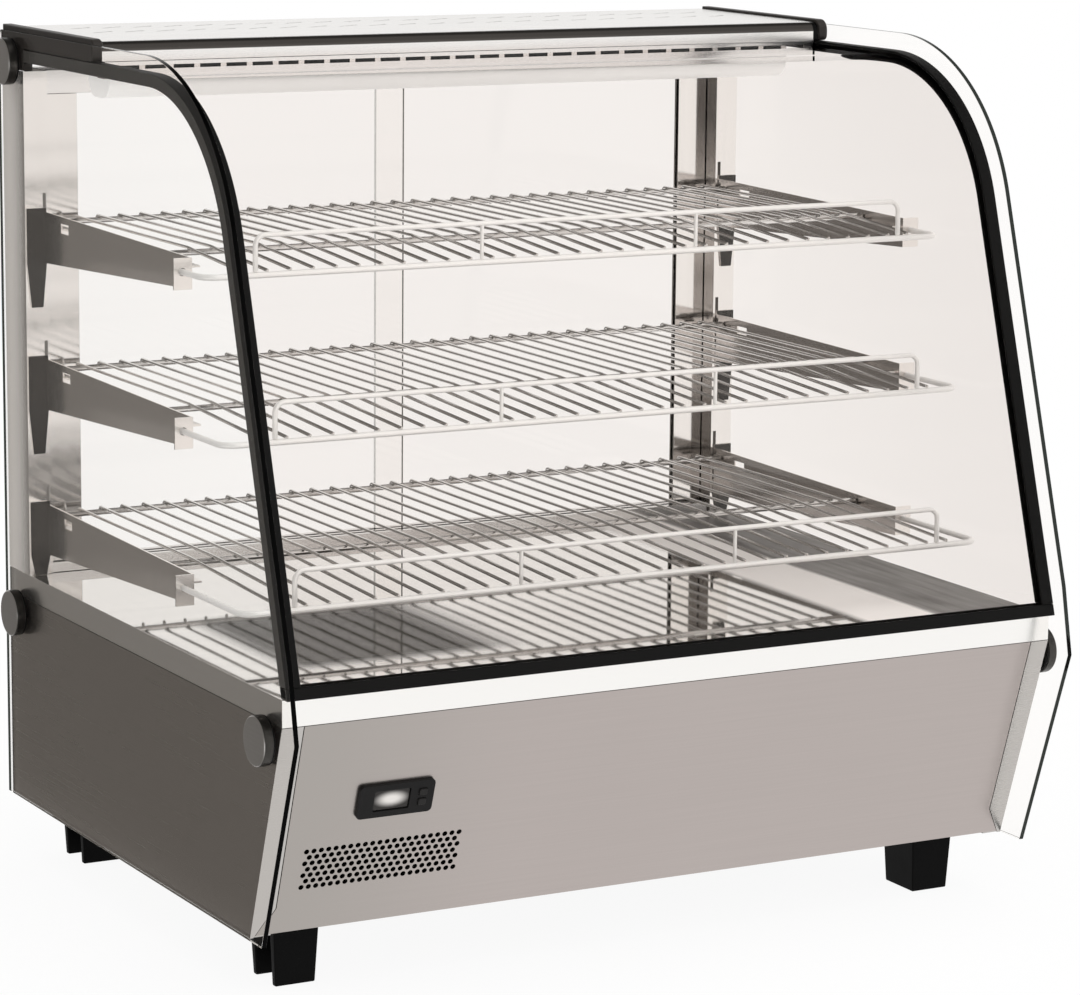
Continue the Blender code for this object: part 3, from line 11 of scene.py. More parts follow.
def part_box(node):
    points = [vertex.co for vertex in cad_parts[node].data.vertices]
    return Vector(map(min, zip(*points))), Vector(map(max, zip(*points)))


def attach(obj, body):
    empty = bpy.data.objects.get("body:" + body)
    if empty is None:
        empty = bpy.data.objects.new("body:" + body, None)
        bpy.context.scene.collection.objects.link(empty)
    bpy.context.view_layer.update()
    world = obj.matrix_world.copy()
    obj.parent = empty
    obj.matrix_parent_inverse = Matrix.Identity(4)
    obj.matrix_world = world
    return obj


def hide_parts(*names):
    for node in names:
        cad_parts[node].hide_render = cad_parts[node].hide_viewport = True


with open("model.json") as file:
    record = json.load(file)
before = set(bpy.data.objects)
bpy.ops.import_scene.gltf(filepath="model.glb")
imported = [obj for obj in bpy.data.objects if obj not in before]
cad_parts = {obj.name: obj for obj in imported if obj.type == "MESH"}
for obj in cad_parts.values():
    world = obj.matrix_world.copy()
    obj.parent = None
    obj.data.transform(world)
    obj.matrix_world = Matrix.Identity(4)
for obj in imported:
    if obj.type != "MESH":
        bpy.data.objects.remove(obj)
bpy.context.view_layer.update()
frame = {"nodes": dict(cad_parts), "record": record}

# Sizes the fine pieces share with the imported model, in metres
GAP = 0.0003
HALF_CASE = 0.339
HALF_GLASS = 0.335
HALF_BASE = 0.3347
REAR_Y = 0.284
BASE_BOTTOM_Z = 0.050
GLASS_TOP_Z = 0.688
BROW_Y, BROW_Z, BROW_RADIUS = -0.020, 0.521, 0.167
FRONT_SLOPE = math.radians(17.1)
BEND_Z = 0.268
BELT = (-0.2835, 0.2145)
TOE_Y = -0.226
FRONT_INSET, FRONT_GLASS, FRONT_GLASS_MARGIN = 0.0165, 0.005, 0.0050
FRONT_GLASS_REAR_Y, FRONT_GLASS_FOOT_Z = 0.0865, 0.2461
SEAL_WIDTH, SEAL_LIP, SEAL_BASE = 0.0110, 0.0026, 0.0030
SILL_SEAL_Z, SILL_SEAL_HEIGHT = 0.2433, 0.0090
POST_FRONT_Y = 0.235
SIDES = (("left", -1.0), ("right", 1.0))
PAIR = [name for name, _ in SIDES]

# Perforated vent in the leaning front panel; edges as short as its sides aren't eased
PANEL_TOP_Y, PANEL_TOE_Y, PANEL_TOP_Z = -0.2570, -0.1995, 0.2220
VENT_PITCH, VENT_RADIUS, VENT_SIDES = 0.0060, 0.00213, 20
VENT_COLUMNS, VENT_ROWS = 22, 7
VENT_LEFT_X, VENT_TOP_Z = -0.3005, 0.1175
DRILL_REACH, DRILLED_EDGE = 0.006, 0.004

# Round fixings: (y, z) of their centres, then the sizes of cap, washer and stem
FIXINGS = (("top", (0.254, 0.664)), ("rear", (0.254, 0.209)), ("front", (-0.234, 0.209)))
CAP_RADIUS, CAP_HEIGHT, CAP_RIM, CAP_DOME = 0.0190, 0.0095, 0.0018, 0.0003
CAP_FOOT, WASHER, WASHER_INSET = 0.0016, 0.0012, 0.0004
STEM_RADIUS, STEM_REACH, STEM_EASE = 0.0036, 0.0048, 0.0006

# Moulded end of the hood
HOOD_FRONT_Y, HOOD_REAR_Y, HOOD_NOSE = 0.0885, 0.2835, 0.0090
HOOD_LOW_Z, HOOD_EAVE_Z, HOOD_TOP_Z = 0.657, 0.6745, 0.692
HOOD_END_THICKNESS = 0.0085

# Wire racks and their fences
WIRE_RADIUS, ROD_RADIUS, FENCE_RADIUS, POST_RADIUS = 0.00135, 0.0024, 0.0020, 0.0015
WIRE_BEND, ARM_BEND, FENCE_BEND = 0.0022, 0.012, 0.008
HALF_ROD, ARM_X, FENCE_X = 0.3164, 0.3250, 0.2850
WIRE_COUNT, WIRE_PITCH = 32, 0.0190
ARM_TIP_Y, REAR_ROD_Y, MID_ROD_Y = -0.048, 0.222, 0.0
HOOK_Y, HOOK_TIP_Y, HOOK_DROP = 0.2262, 0.2288, 0.0070
RACK_RISE, MID_ROD_DROP, WELD, WIRE_TIP = 0.0070, 0.0007, 0.0004, 0.0012
FENCE_HEIGHT = 0.030

# How every edge is finished
GLASS_ARRIS, GLASS_CORNER = 0.0004, 0.006
SHEET_EASE, RUBBER_EASE, RUBBER_ROUND, MOULDING_EASE = 0.0003, 0.0008, 0.0010, 0.0011
MERGE_REACH = 2e-6
FLAT_ANGLE, EDGE_ANGLE, SHARP_ANGLE = math.radians(0.6), math.radians(40), math.radians(50)
ROD_END_BACK = np.array([0.35, 0.12, 0.0])
ROD_END_SIZE = np.array([0.55, 0.88, 1.0])


# Surfaces worked out as whole arrays

def grid_faces(rows, cols):
    """Quads between the points of a rows x cols grid, each row closed on itself."""
    row, col = np.meshgrid(np.arange(rows - 1), np.arange(cols), indexing="ij")
    near, far, next_col = row * cols, (row + 1) * cols, (col + 1) % cols
    corners = (near + col, near + next_col, far + next_col, far + col)
    return np.stack(corners, -1).reshape(-1, 4)


def unit(vectors):
    """The vectors at length 1."""
    return vectors / np.linalg.norm(vectors, axis=-1, keepdims=True)


def bent(corners, radius, steps):
    """A path through corners with each inner corner replaced by an arc of the bend radius.

    The arc's centre lies on the corner's bisector, radius / sin(half angle) away, and its points
    are the blend (first sin((1-t)a) + last sin(ta)) / sin(a) of the two arms of the angle a.
    """
    corners = np.asarray(corners, float)
    pieces = [corners[:1]]
    share = np.linspace(0.0, 1.0, steps)[:, None]
    for before, corner, after in zip(corners, corners[1:], corners[2:]):
        back, ahead = unit(before - corner), unit(after - corner)
        half = np.arccos(np.clip(back @ ahead, -1, 1)) / 2
        reach = radius / np.tan(half)
        centre = corner + unit(back + ahead) * radius / np.sin(half)
        first, last = corner + back * reach - centre, corner + ahead * reach - centre
        sweep = np.arccos(np.clip(first @ last / radius ** 2, -1, 1))
        blend = first * np.sin((1 - share) * sweep) + last * np.sin(share * sweep)
        pieces.append(centre + blend / np.sin(sweep))
    pieces.append(corners[-1:])
    return np.concatenate(pieces)


def tube(path, radius, sides, side):
    """A round rod with domed ends along a path in the plane square to side.

    Point = path + across r cos(v) + side r sin(v), across = tangent x side; at each end the
    radius falls over two short steps.
    """
    path, side = np.asarray(path, float), np.asarray(side, float)
    start, end = unit(path[1] - path[0]), unit(path[-1] - path[-2])
    nose = radius * ROD_END_BACK
    first = path[0] + start * (nose[0] - nose[:, None])
    last = path[-1] - end * (nose[0] - nose[::-1, None])
    stations = np.concatenate([first, path[1:-1], last])
    size = radius * np.concatenate([ROD_END_SIZE, np.ones(len(path) - 2), ROD_END_SIZE[::-1]])
    across = unit(np.cross(unit(np.gradient(stations, axis=0)), side))
    turn = np.arange(sides) * 2 * np.pi / sides
    ring = across[:, None] * np.cos(turn)[None, :, None] + side * np.sin(turn)[None, :, None]
    return stations[:, None] + ring * size[:, None, None]


def brow_line(inset, rear_y=FRONT_GLASS_REAR_Y, foot_z=FRONT_GLASS_FOOT_Z, steps=56):
    """(y, z) along the front: flat top, arc of BROW_RADIUS - inset, then the straight slope."""
    turn = np.linspace(np.pi / 2, np.pi - FRONT_SLOPE, steps)
    radius = BROW_RADIUS - inset
    arc = np.stack([BROW_Y + radius * np.cos(turn), BROW_Z + radius * np.sin(turn)], -1)
    foot_y = arc[-1, 0] - (arc[-1, 1] - foot_z) * np.tan(FRONT_SLOPE)
    return np.concatenate([[[rear_y, GLASS_TOP_Z - inset]], arc, [[foot_y, foot_z]]])


def along_brow(section, side=1.0, **line):
    """A strip run along the brow line: each section point (inset, x) has its own offset line."""
    lines = np.stack([brow_line(inset, **line) for inset, _ in section], 1)
    across = np.broadcast_to(side * np.array([x for _, x in section]), lines.shape[:2])
    return np.concatenate([across[..., None], lines], -1)


def softened(outline, radius):
    """A closed outline whose corners are bows, each no larger than 0.45 of its shorter side.

    Over a share t of a corner the point is start (1-t)^2 + 2 corner t (1-t) + end t^2.
    """
    outline = np.asarray(outline, float)
    before, after = np.roll(outline, 1, 0), np.roll(outline, -1, 0)
    room = np.linalg.norm([outline - before, after - outline], axis=2).min(0)
    share = np.linspace(0.0, 1.0, 4)[None, :, None]
    reach = np.minimum(radius, 0.45 * room)[:, None, None]
    start = outline[:, None] + unit(before - outline)[:, None] * reach
    end = outline[:, None] + unit(after - outline)[:, None] * reach
    middle = 2 * outline[:, None] * share * (1 - share)
    return (start * (1 - share) ** 2 + middle + end * share ** 2).reshape(-1, 2)


def inset_outline(outline, depth):
    """A closed outline moved in along its corner normals."""
    ahead = unit(np.roll(outline, -1, 0) - outline)
    left = unit(ahead + np.roll(ahead, 1, 0))
    x, y = outline.T
    turn = np.sign(np.sum(x * np.roll(y, -1) - y * np.roll(x, -1)))
    normal = np.stack([-left[:, 1], left[:, 0]], -1) * turn
    stretch = 1 / np.clip(np.sum(left * ahead, 1), 0.5, 1.0)
    return outline + normal * (depth * stretch)[:, None]


def plate(outline, start, end, ease):
    """A flat plate from x = start to x = end, with round edges of radius ease.

    Over a quarter turn t the outline moves in by ease (1 - sin t) and on by ease (1 - cos t), and
    the far face mirrors the near one.
    """
    outline = np.asarray(outline, float)
    turn = np.linspace(0.0, np.pi / 2, 4)
    along, depth = math.copysign(ease, end - start) * (1 - np.cos(turn)), ease * (1 - np.sin(turn))
    rings = [*zip(start + along, depth), *zip((end - along)[::-1], depth[::-1])]
    return np.stack([np.insert(inset_outline(outline, d), 0, x, axis=1) for x, d in rings])


def turned(profile, sides, centre):
    """A turned form: (x, radius) pairs spun round a line along X through the centre (y, z).

    Point = (x, y + radius cos(v), z + radius sin(v)) while v goes round once.
    """
    profile = np.asarray(profile, float)
    turn = np.arange(sides) * 2 * np.pi / sides
    y = centre[0] + profile[:, 1:2] * np.cos(turn)
    z = centre[1] + profile[:, 1:2] * np.sin(turn)
    return np.stack([np.broadcast_to(profile[:, :1], y.shape), y, z], -1)


def smoothed(mesh):
    """Smooth shading with a crease at every sharp edge."""
    mesh.shade_smooth()
    mesh.set_sharp_from_angle(angle=SHARP_ANGLE)
    return mesh


def mesh_of(name, sheets):
    """One mesh from sheets of points (rows, cols, 3), each closed round its rows and capped."""
    points, faces, offset = [], [], 0
    for sheet in sheets:
        rows, cols = sheet.shape[:2]
        points.append(sheet.reshape(-1, 3))
        faces += (grid_faces(rows, cols) + offset).tolist()
        faces.append((np.arange(cols) + offset).tolist())
        faces.append((np.arange(cols)[::-1] + offset + (rows - 1) * cols).tolist())
        offset += rows * cols
    mesh = bpy.data.meshes.new(name)
    mesh.from_pydata(np.concatenate(points).tolist(), [], faces)
    work = bmesh.new()
    work.from_mesh(mesh)
    bmesh.ops.recalc_face_normals(work, faces=work.faces)
    work.to_mesh(mesh)
    work.free()
    return smoothed(mesh)


def eased(node, width, shortest=0.0):
    """A copy of a CAD node's mesh, merged, with its flat faces whole and its edges rounded.

    Edges under the shortest length keep their corner.
    """
    work = bmesh.new()
    work.from_mesh(frame["nodes"][node].data)
    bmesh.ops.remove_doubles(work, verts=work.verts, dist=MERGE_REACH)
    bmesh.ops.dissolve_limit(work, angle_limit=FLAT_ANGLE, verts=work.verts, edges=work.edges)
    long_enough = [edge for edge in work.edges if edge.calc_length() > shortest]
    sharp = [e for e in long_enough if e.is_manifold and e.calc_face_angle() > EDGE_ANGLE]
    bmesh.ops.bevel(
        work, geom=sharp, offset=width, segments=2, profile=0.5, affect="EDGES", clamp_overlap=True,
    )
    bmesh.ops.recalc_face_normals(work, faces=work.faces)
    mesh = bpy.data.meshes.new(node)
    work.to_mesh(mesh)
    work.free()
    if "custom_normal" in mesh.attributes:
        mesh.attributes.remove(mesh.attributes["custom_normal"])
    return smoothed(mesh)


def show(name, mesh, finish, body, stands_for, flat_faces=True):
    """Put a finished piece in the scene, on its body and in place of its CAD nodes."""
    piece = bpy.data.objects.new(name, mesh)
    bpy.context.scene.collection.objects.link(piece)
    if flat_faces:
        weigh = piece.modifiers.new("flat_faces", "WEIGHTED_NORMAL")
        weigh.weight = 100
        weigh.keep_sharp = True
    mesh.materials.clear()
    mesh.materials.append(finish)
    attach(piece, body)
    if stands_for:
        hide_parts(*stands_for)


# Node helpers

def group(name, inputs, outputs):
    """A shader node group with its sockets, and its input and output nodes."""
    tree = bpy.data.node_groups.new(name, "ShaderNodeTree")
    for label, kind, value in inputs:
        socket = tree.interface.new_socket(label, in_out="INPUT", socket_type=kind)
        if value is not None:
            socket.default_value = value
    for label, kind in outputs:
        tree.interface.new_socket(label, in_out="OUTPUT", socket_type=kind)
    return tree, tree.nodes.new("NodeGroupInput"), tree.nodes.new("NodeGroupOutput")


def add(tree, kind, settings=None, **values):
    """A new node with its settings and the values of its sockets."""
    node = tree.nodes.new(kind)
    for key, value in (settings or {}).items():
        setattr(node, key, value)
    for key, value in values.items():
        node.inputs[key.replace("_", " ")].default_value = value
    return node


def feed(tree, source, target):
    """Link a socket, or set a plain value."""
    if isinstance(source, bpy.types.NodeSocket):
        tree.links.new(source, target)
    else:
        target.default_value = source


def noise(tree, vector, scale, detail, roughness=0.5):
    node = add(tree, "ShaderNodeTexNoise", Scale=scale, Detail=detail, Roughness=roughness)
    tree.links.new(vector, node.inputs["Vector"])
    return node.outputs["Fac"]


def blend_value(tree, factor, low, high):
    """low where factor is 0 and high where it is 1."""
    node = add(tree, "ShaderNodeMapRange")
    tree.links.new(factor, node.inputs["Value"])
    feed(tree, low, node.inputs["To Min"])
    feed(tree, high, node.inputs["To Max"])
    return node.outputs["Result"]


def blend_colour(tree, factor, first, second):
    """first where factor is 0 and second where it is 1."""
    node = add(tree, "ShaderNodeMix", {"data_type": "RGBA"})
    tree.links.new(factor, node.inputs["Factor"])
    feed(tree, first, node.inputs[6])
    feed(tree, second, node.inputs[7])
    return node.outputs[2]


def ramp_between(tree, value, low, high):
    """A smooth 0 to 1 while the value goes from low to high."""
    smooth = {"interpolation_type": "SMOOTHSTEP"}
    node = add(tree, "ShaderNodeMapRange", smooth, From_Min=low, From_Max=high)
    tree.links.new(value, node.inputs["Value"])
    return node.outputs["Result"]


def product(tree, *factors):
    result = factors[0]
    for factor in factors[1:]:
        node = add(tree, "ShaderNodeMath", {"operation": "MULTIPLY"})
        tree.links.new(result, node.inputs[0])
        feed(tree, factor, node.inputs[1])
        result = node.outputs[0]
    return result


def vector_step(tree, operation, first, second=None):
    """A Vector Math node; the second vector may be a plain value."""
    node = add(tree, "ShaderNodeVectorMath", {"operation": operation})
    tree.links.new(first, node.inputs[0])
    if second is not None:
        feed(tree, second, node.inputs[1])
    return node.outputs["Value" if operation in ("LENGTH", "DOT_PRODUCT") else "Vector"]


def absolute(tree, value):
    node = add(tree, "ShaderNodeMath", {"operation": "ABSOLUTE"})
    tree.links.new(value, node.inputs[0])
    return node.outputs[0]


def mix_shaders(tree, factor, first, second):
    """Send first to the material's output where factor is 0 and second where it is 1."""
    mix = tree.nodes.new("ShaderNodeMixShader")
    tree.links.new(factor, mix.inputs["Fac"])
    tree.links.new(first.outputs[0], mix.inputs[1])
    tree.links.new(second.outputs[0], mix.inputs[2])
    tree.links.new(mix.outputs[0], tree.nodes["Material Output"].inputs["Surface"])


def rgba(colour):
    return (*colour, 1.0)


# Effects that several finishes share

VECTOR, COLOUR, NUMBER = "NodeSocketVector", "NodeSocketColor", "NodeSocketFloat"
SKIN_OUTPUTS = [("Color", COLOUR), ("Roughness", NUMBER), ("Height", NUMBER)]
HAIR_SHARE = 0.65


def grain_group():
    """Rolled and brushed sheet: stretched noise as hair lines over a slow change of tone."""
    inputs = [
        ("Vector", VECTOR, None), ("Hairs", VECTOR, None),
        ("Light", COLOUR, (0.6, 0.6, 0.6, 1.0)), ("Dark", COLOUR, (0.5, 0.5, 0.5, 1.0)),
        ("Smooth", NUMBER, 0.25), ("Rough", NUMBER, 0.4),
    ]
    tree, source, sink = group("brushed_sheet", inputs, SKIN_OUTPUTS)
    hairs = noise(tree, source.outputs["Hairs"], 1.0, 3.0, 0.65)
    cloud = noise(tree, source.outputs["Vector"], 4.0, 2.0)
    both = add(tree, "ShaderNodeMath", {"operation": "MULTIPLY_ADD"})
    tree.links.new(hairs, both.inputs[0])
    both.inputs[1].default_value = HAIR_SHARE
    tree.links.new(product(tree, cloud, 1 - HAIR_SHARE), both.inputs[2])
    tone, socket = both.outputs[0], source.outputs
    colour = blend_colour(tree, tone, socket["Dark"], socket["Light"])
    tree.links.new(colour, sink.inputs["Color"])
    rough = blend_value(tree, tone, socket["Rough"], socket["Smooth"])
    tree.links.new(rough, sink.inputs["Roughness"])
    tree.links.new(hairs, sink.inputs["Height"])
    return tree


def mould_group():
    """Moulded or rubber skin: fine pebbling, with a slow change of tone and dulling."""
    inputs = [
        ("Vector", VECTOR, None), ("Pebble size", NUMBER, 900.0),
        ("Light", COLOUR, (0.04, 0.04, 0.04, 1.0)), ("Dark", COLOUR, (0.02, 0.02, 0.02, 1.0)),
        ("Smooth", NUMBER, 0.35), ("Rough", NUMBER, 0.6),
    ]
    tree, source, sink = group("moulded_skin", inputs, SKIN_OUTPUTS)
    pebbles = add(tree, "ShaderNodeTexNoise", Detail=2.0)
    tree.links.new(source.outputs["Vector"], pebbles.inputs["Vector"])
    tree.links.new(source.outputs["Pebble size"], pebbles.inputs["Scale"])
    cloud, socket = noise(tree, source.outputs["Vector"], 22.0, 3.0), source.outputs
    colour = blend_colour(tree, cloud, socket["Dark"], socket["Light"])
    tree.links.new(colour, sink.inputs["Color"])
    rough = blend_value(tree, cloud, socket["Smooth"], socket["Rough"])
    tree.links.new(rough, sink.inputs["Roughness"])
    tree.links.new(pebbles.outputs["Fac"], sink.inputs["Height"])
    return tree


def facing_group():
    """1 on faces that look along an axis either way, 0 on faces square to it."""
    inputs = [("Normal", VECTOR, None), ("Axis", VECTOR, (1.0, 0.0, 0.0))]
    tree, source, sink = group("facing_mask", inputs, [("Mask", NUMBER)])
    dot = vector_step(tree, "DOT_PRODUCT", source.outputs["Normal"], source.outputs["Axis"])
    tree.links.new(ramp_between(tree, absolute(tree, dot), 0.55, 0.85), sink.inputs["Mask"])
    return tree


GRAIN, MOULD, FACING = grain_group(), mould_group(), facing_group()


def placed(tree, kind, **values):
    """A shared effect placed in a material with its own values."""
    node = tree.nodes.new("ShaderNodeGroup")
    node.node_tree = kind
    for key, value in values.items():
        node.inputs[key.replace("_", " ")].default_value = value
    return node


def material(name):
    """A new material, its node tree and its shader."""
    made = bpy.data.materials.new(name)
    made.use_nodes = True
    tree = made.node_tree
    tree.nodes.new("ShaderNodeTexCoord")
    return made, tree, tree.nodes["Principled BSDF"]


def coordinate(tree, output="Object"):
    """A socket of the tree's one coordinate node."""
    return next(node for node in tree.nodes if node.type == "TEX_COORD").outputs[output]


# Masks: each maker gives a function that adds its nodes to a tree

def zone(letter, low, high, size_only=False):
    """0 to 1 while the object's own coordinate, or its size alone, goes from low to high."""
    def mask(tree):
        split = tree.nodes.new("ShaderNodeSeparateXYZ")
        tree.links.new(coordinate(tree), split.inputs[0])
        value = split.outputs[letter]
        return ramp_between(tree, absolute(tree, value) if size_only else value, low, high)
    return mask


def spot(centre, half_width, half_height):
    """1 at the middle of an upright oval and 0 at its rim."""
    def mask(tree):
        shift = vector_step(tree, "SUBTRACT", coordinate(tree), centre)
        scaled = vector_step(tree, "MULTIPLY", shift, (1 / half_width, 0.0, 1 / half_height))
        return ramp_between(tree, vector_step(tree, "LENGTH", scaled), 1.0, 0.2)
    return mask


def facing(*axis):
    """1 on faces that look along the axis either way."""
    def mask(tree):
        node = placed(tree, FACING, Axis=axis)
        tree.links.new(coordinate(tree, "Normal"), node.inputs["Normal"])
        return node.outputs["Mask"]
    return mask


def streaks(tree):
    """Streaks that run front to back, 0.7 to 1, breaking up the deck rim's painted reflection."""
    scale = add(tree, "ShaderNodeMapping", Scale=(170.0, 14.0, 1.0))
    tree.links.new(coordinate(tree), scale.inputs["Vector"])
    return blend_value(tree, noise(tree, scale.outputs["Vector"], 1.0, 3.0), 0.7, 1.0)


# Finishes

SHEET_RELIEF, MOULD_RELIEF = 0.0002, 0.0003
ALONG_X = (6.0, 900.0, 900.0)
ALONG_Y = (900.0, 6.0, 900.0)
SIDEWAYS, LENGTHWAYS, UPWARD = facing(1.0, 0.0, 0.0), facing(0.0, 1.0, 0.0), facing(0.0, 0.0, 1.0)


def lay_on(tree, shader, colour, roughness, height, strength, depth):
    """Give the shader its colour, its roughness and a fine relief."""
    relief = add(tree, "ShaderNodeBump", Strength=strength, Distance=depth)
    tree.links.new(height, relief.inputs["Height"])
    tree.links.new(relief.outputs["Normal"], shader.inputs["Normal"])
    tree.links.new(colour, shader.inputs["Base Color"])
    tree.links.new(roughness, shader.inputs["Roughness"])


def brushed(tree, light, dark, smooth, rough, hairs):
    """The brushed sheet's colour, roughness and height; hairs run along its smallest number."""
    mapping = add(tree, "ShaderNodeMapping", Scale=hairs)
    tree.links.new(coordinate(tree), mapping.inputs["Vector"])
    grain = placed(tree, GRAIN, Light=rgba(light), Dark=rgba(dark), Smooth=smooth, Rough=rough)
    tree.links.new(coordinate(tree), grain.inputs["Vector"])
    tree.links.new(mapping.outputs["Vector"], grain.inputs["Hairs"])
    return [grain.outputs[key] for key, _ in SKIN_OUTPUTS]


def pebbled(tree, light, dark, smooth, rough, pebble):
    """The moulded skin's colour, roughness and height."""
    skin = placed(tree, MOULD, Light=rgba(light), Dark=rgba(dark), Smooth=smooth, Rough=rough)
    skin.inputs["Pebble size"].default_value = pebble
    tree.links.new(coordinate(tree), skin.inputs["Vector"])
    return [skin.outputs[key] for key, _ in SKIN_OUTPUTS]


def sheet_steel(name, light, dark, smooth, rough, hairs, strength=0.12, metallic=1.0):
    """Stainless sheet or plated wire."""
    made, tree, shader = material(name)
    lay_on(tree, shader, *brushed(tree, light, dark, smooth, rough, hairs), strength, SHEET_RELIEF)
    shader.inputs["Metallic"].default_value = metallic
    return made


def moulded(name, light, dark, smooth, rough, pebble, strength, specular, coat=0.0):
    """Plastic or rubber."""
    made, tree, shader = material(name)
    lay_on(tree, shader, *pebbled(tree, light, dark, smooth, rough, pebble), strength, MOULD_RELIEF)
    shader.inputs["Specular IOR Level"].default_value = specular
    shader.inputs["Coat Weight"].default_value = coat
    shader.inputs["Coat Roughness"].default_value = 0.15
    return made


def deck_steel():
    """Mirror-polished sheet; its faces that don't look up are painted a brighter, rougher tone than
    its top plate, a painted highlight on its folded edges.
    """
    made, tree, shader = material("deck_steel")
    hairs = (4.0, 90.0, 90.0)
    top, top_roughness, height = brushed(
        tree, (0.86, 0.845, 0.825), (0.72, 0.705, 0.69), 0.015, 0.05, hairs)
    mask = UPWARD(tree)
    colour = blend_colour(tree, mask, rgba((0.93, 0.915, 0.89)), top)
    roughness = blend_value(tree, mask, 0.22, top_roughness)
    lay_on(tree, shader, colour, roughness, height, 0.02, SHEET_RELIEF)
    shader.inputs["Metallic"].default_value = 1.0
    shader.inputs["Specular IOR Level"].default_value = 0.0
    return made


def cover_white():
    """White diffuser plastic with a faint glow of its own colour; the part behind the slotted wall
    is painted black as painted shade.
    """
    made, tree, shader = material("cover_white")
    white, dull, height = pebbled(
        tree, (0.95, 0.94, 0.925), (0.91, 0.90, 0.885), 0.3, 0.45, 900.0)
    # Painted shade: black where the cover sits behind the slotted wall
    painted_shade = zone("Z", 0.6590, 0.6612)(tree)
    colour = blend_colour(tree, painted_shade, white, rgba((0.01, 0.01, 0.01)))
    roughness = blend_value(tree, painted_shade, dull, 0.9)
    lay_on(tree, shader, colour, roughness, height, 0.05, MOULD_RELIEF)
    tree.links.new(colour, shader.inputs["Emission Color"])
    shader.inputs["Emission Strength"].default_value = 0.22
    return made


def clear_pane(name, axis, body_tint, edge_tint, index):
    """Float glass: body tint through its faces, edge tint elsewhere; lets lamp light through."""
    made, tree, shader = material(name)
    tint = blend_colour(tree, facing(*axis)(tree), rgba(edge_tint), rgba(body_tint))
    tree.links.new(tint, shader.inputs["Base Color"])
    film = noise(tree, coordinate(tree), 9.0, 3.0)
    tree.links.new(blend_value(tree, film, 0.0, 0.02), shader.inputs["Roughness"])
    shader.inputs["Transmission Weight"].default_value = 1.0
    shader.inputs["IOR"].default_value = index
    path = tree.nodes.new("ShaderNodeLightPath")
    either = add(tree, "ShaderNodeMath", {"operation": "MAXIMUM"})
    tree.links.new(path.outputs["Is Shadow Ray"], either.inputs[0])
    tree.links.new(path.outputs["Is Diffuse Ray"], either.inputs[1])
    mix_shaders(tree, either.outputs[0], shader, tree.nodes.new("ShaderNodeBsdfTransparent"))
    return made


PANEL_STEEL = sheet_steel(
    "panel_steel", (0.50, 0.447, 0.425), (0.43, 0.384, 0.365), 0.26, 0.34, ALONG_X, 0.05)
SIDE_STEEL = sheet_steel(
    "side_steel", (0.50, 0.465, 0.435), (0.43, 0.40, 0.374), 0.24, 0.32, (6.0, 6.0, 900.0), 0.05)
TOP_STEEL = sheet_steel(
    "top_steel", (0.90, 0.885, 0.87), (0.80, 0.785, 0.77), 0.20, 0.30, ALONG_X, 0.06)
TRIM_STEEL = sheet_steel(
    "trim_steel", (0.80, 0.785, 0.77), (0.66, 0.645, 0.63), 0.12, 0.20, ALONG_X, 0.06)
POST_STEEL = sheet_steel(
    "post_steel", (0.97, 0.95, 0.93), (0.88, 0.86, 0.84), 0.07, 0.14, (200.0, 200.0, 4.0), 0.04)
BRACKET_STEEL = sheet_steel(
    "bracket_steel", (0.97, 0.93, 0.90), (0.84, 0.81, 0.78), 0.16, 0.24, (40.0, 5.0, 160.0), 0.012)
CAP_STEEL = sheet_steel(
    "cap_steel", (0.66, 0.64, 0.615), (0.54, 0.52, 0.50), 0.26, 0.36, ALONG_Y, 0.08)
HIDDEN_STEEL = sheet_steel(
    "hidden_steel", (0.34, 0.33, 0.32), (0.24, 0.23, 0.22), 0.35, 0.5, ALONG_X)
HEATER_STEEL = sheet_steel(
    "heater_steel", (0.20, 0.18, 0.17), (0.12, 0.11, 0.10), 0.4, 0.6, ALONG_X)
WIRE_PLATE = sheet_steel(
    "wire_plate", (0.90, 0.89, 0.875), (0.76, 0.75, 0.74), 0.10, 0.18, (60.0, 60.0, 60.0), 0.04)
FENCE_PLATE = sheet_steel(
    "fence_plate", (0.98, 0.97, 0.95), (0.90, 0.89, 0.87), 0.30, 0.40, (60.0, 60.0, 60.0), 0.04,
    metallic=0.3)
DECK_STEEL = deck_steel()
BLACK_MOULD = moulded(
    "black_mould", (0.012, 0.011, 0.011), (0.006, 0.006, 0.006), 0.30, 0.45, 900.0, 0.2, 0.12)
CAP_MOULD = moulded(
    "cap_mould", (0.032, 0.028, 0.025), (0.020, 0.017, 0.015), 0.36, 0.5, 900.0, 0.15, 0.22)
FOOT_MOULD = moulded(
    "foot_mould", (0.004, 0.004, 0.004), (0.002, 0.002, 0.002), 0.45, 0.65, 700.0, 0.3, 0.06)
KEY_MOULD = moulded(
    "key_mould", (0.020, 0.019, 0.018), (0.012, 0.011, 0.011), 0.35, 0.5, 900.0, 0.2, 0.15)
SEAL_RUBBER = moulded(
    "seal_rubber", (0.007, 0.0065, 0.006), (0.003, 0.003, 0.003), 0.45, 0.6, 1200.0, 0.1, 0.1)
WINDOW_GLOSS = moulded(
    "window_gloss", (0.030, 0.027, 0.025), (0.016, 0.014, 0.013), 0.06, 0.12, 60.0, 0.02, 0.2,
    coat=0.1)
COVER_WHITE = cover_white()
# The bent front glass has one tint on its faces and edges alike (painted shade darkens its right
# part in the tones below), and bends light so little that the hood shows through
FRONT_TINT = (0.918, 0.888, 0.868)
FRONT_PANE = clear_pane("front_pane", (0.0, 0.0, 0.0), FRONT_TINT, FRONT_TINT, 1.003)
SIDE_PANE = clear_pane(
    "side_pane", (1.0, 0.0, 0.0), (1.0, 0.987, 0.972), (0.0015, 0.002, 0.0016), 1.12)
DOOR_PANE = clear_pane(
    "door_pane", (0.0, 1.0, 0.0), (0.985, 0.974, 0.963), (0.40, 0.42, 0.41), 1.25)


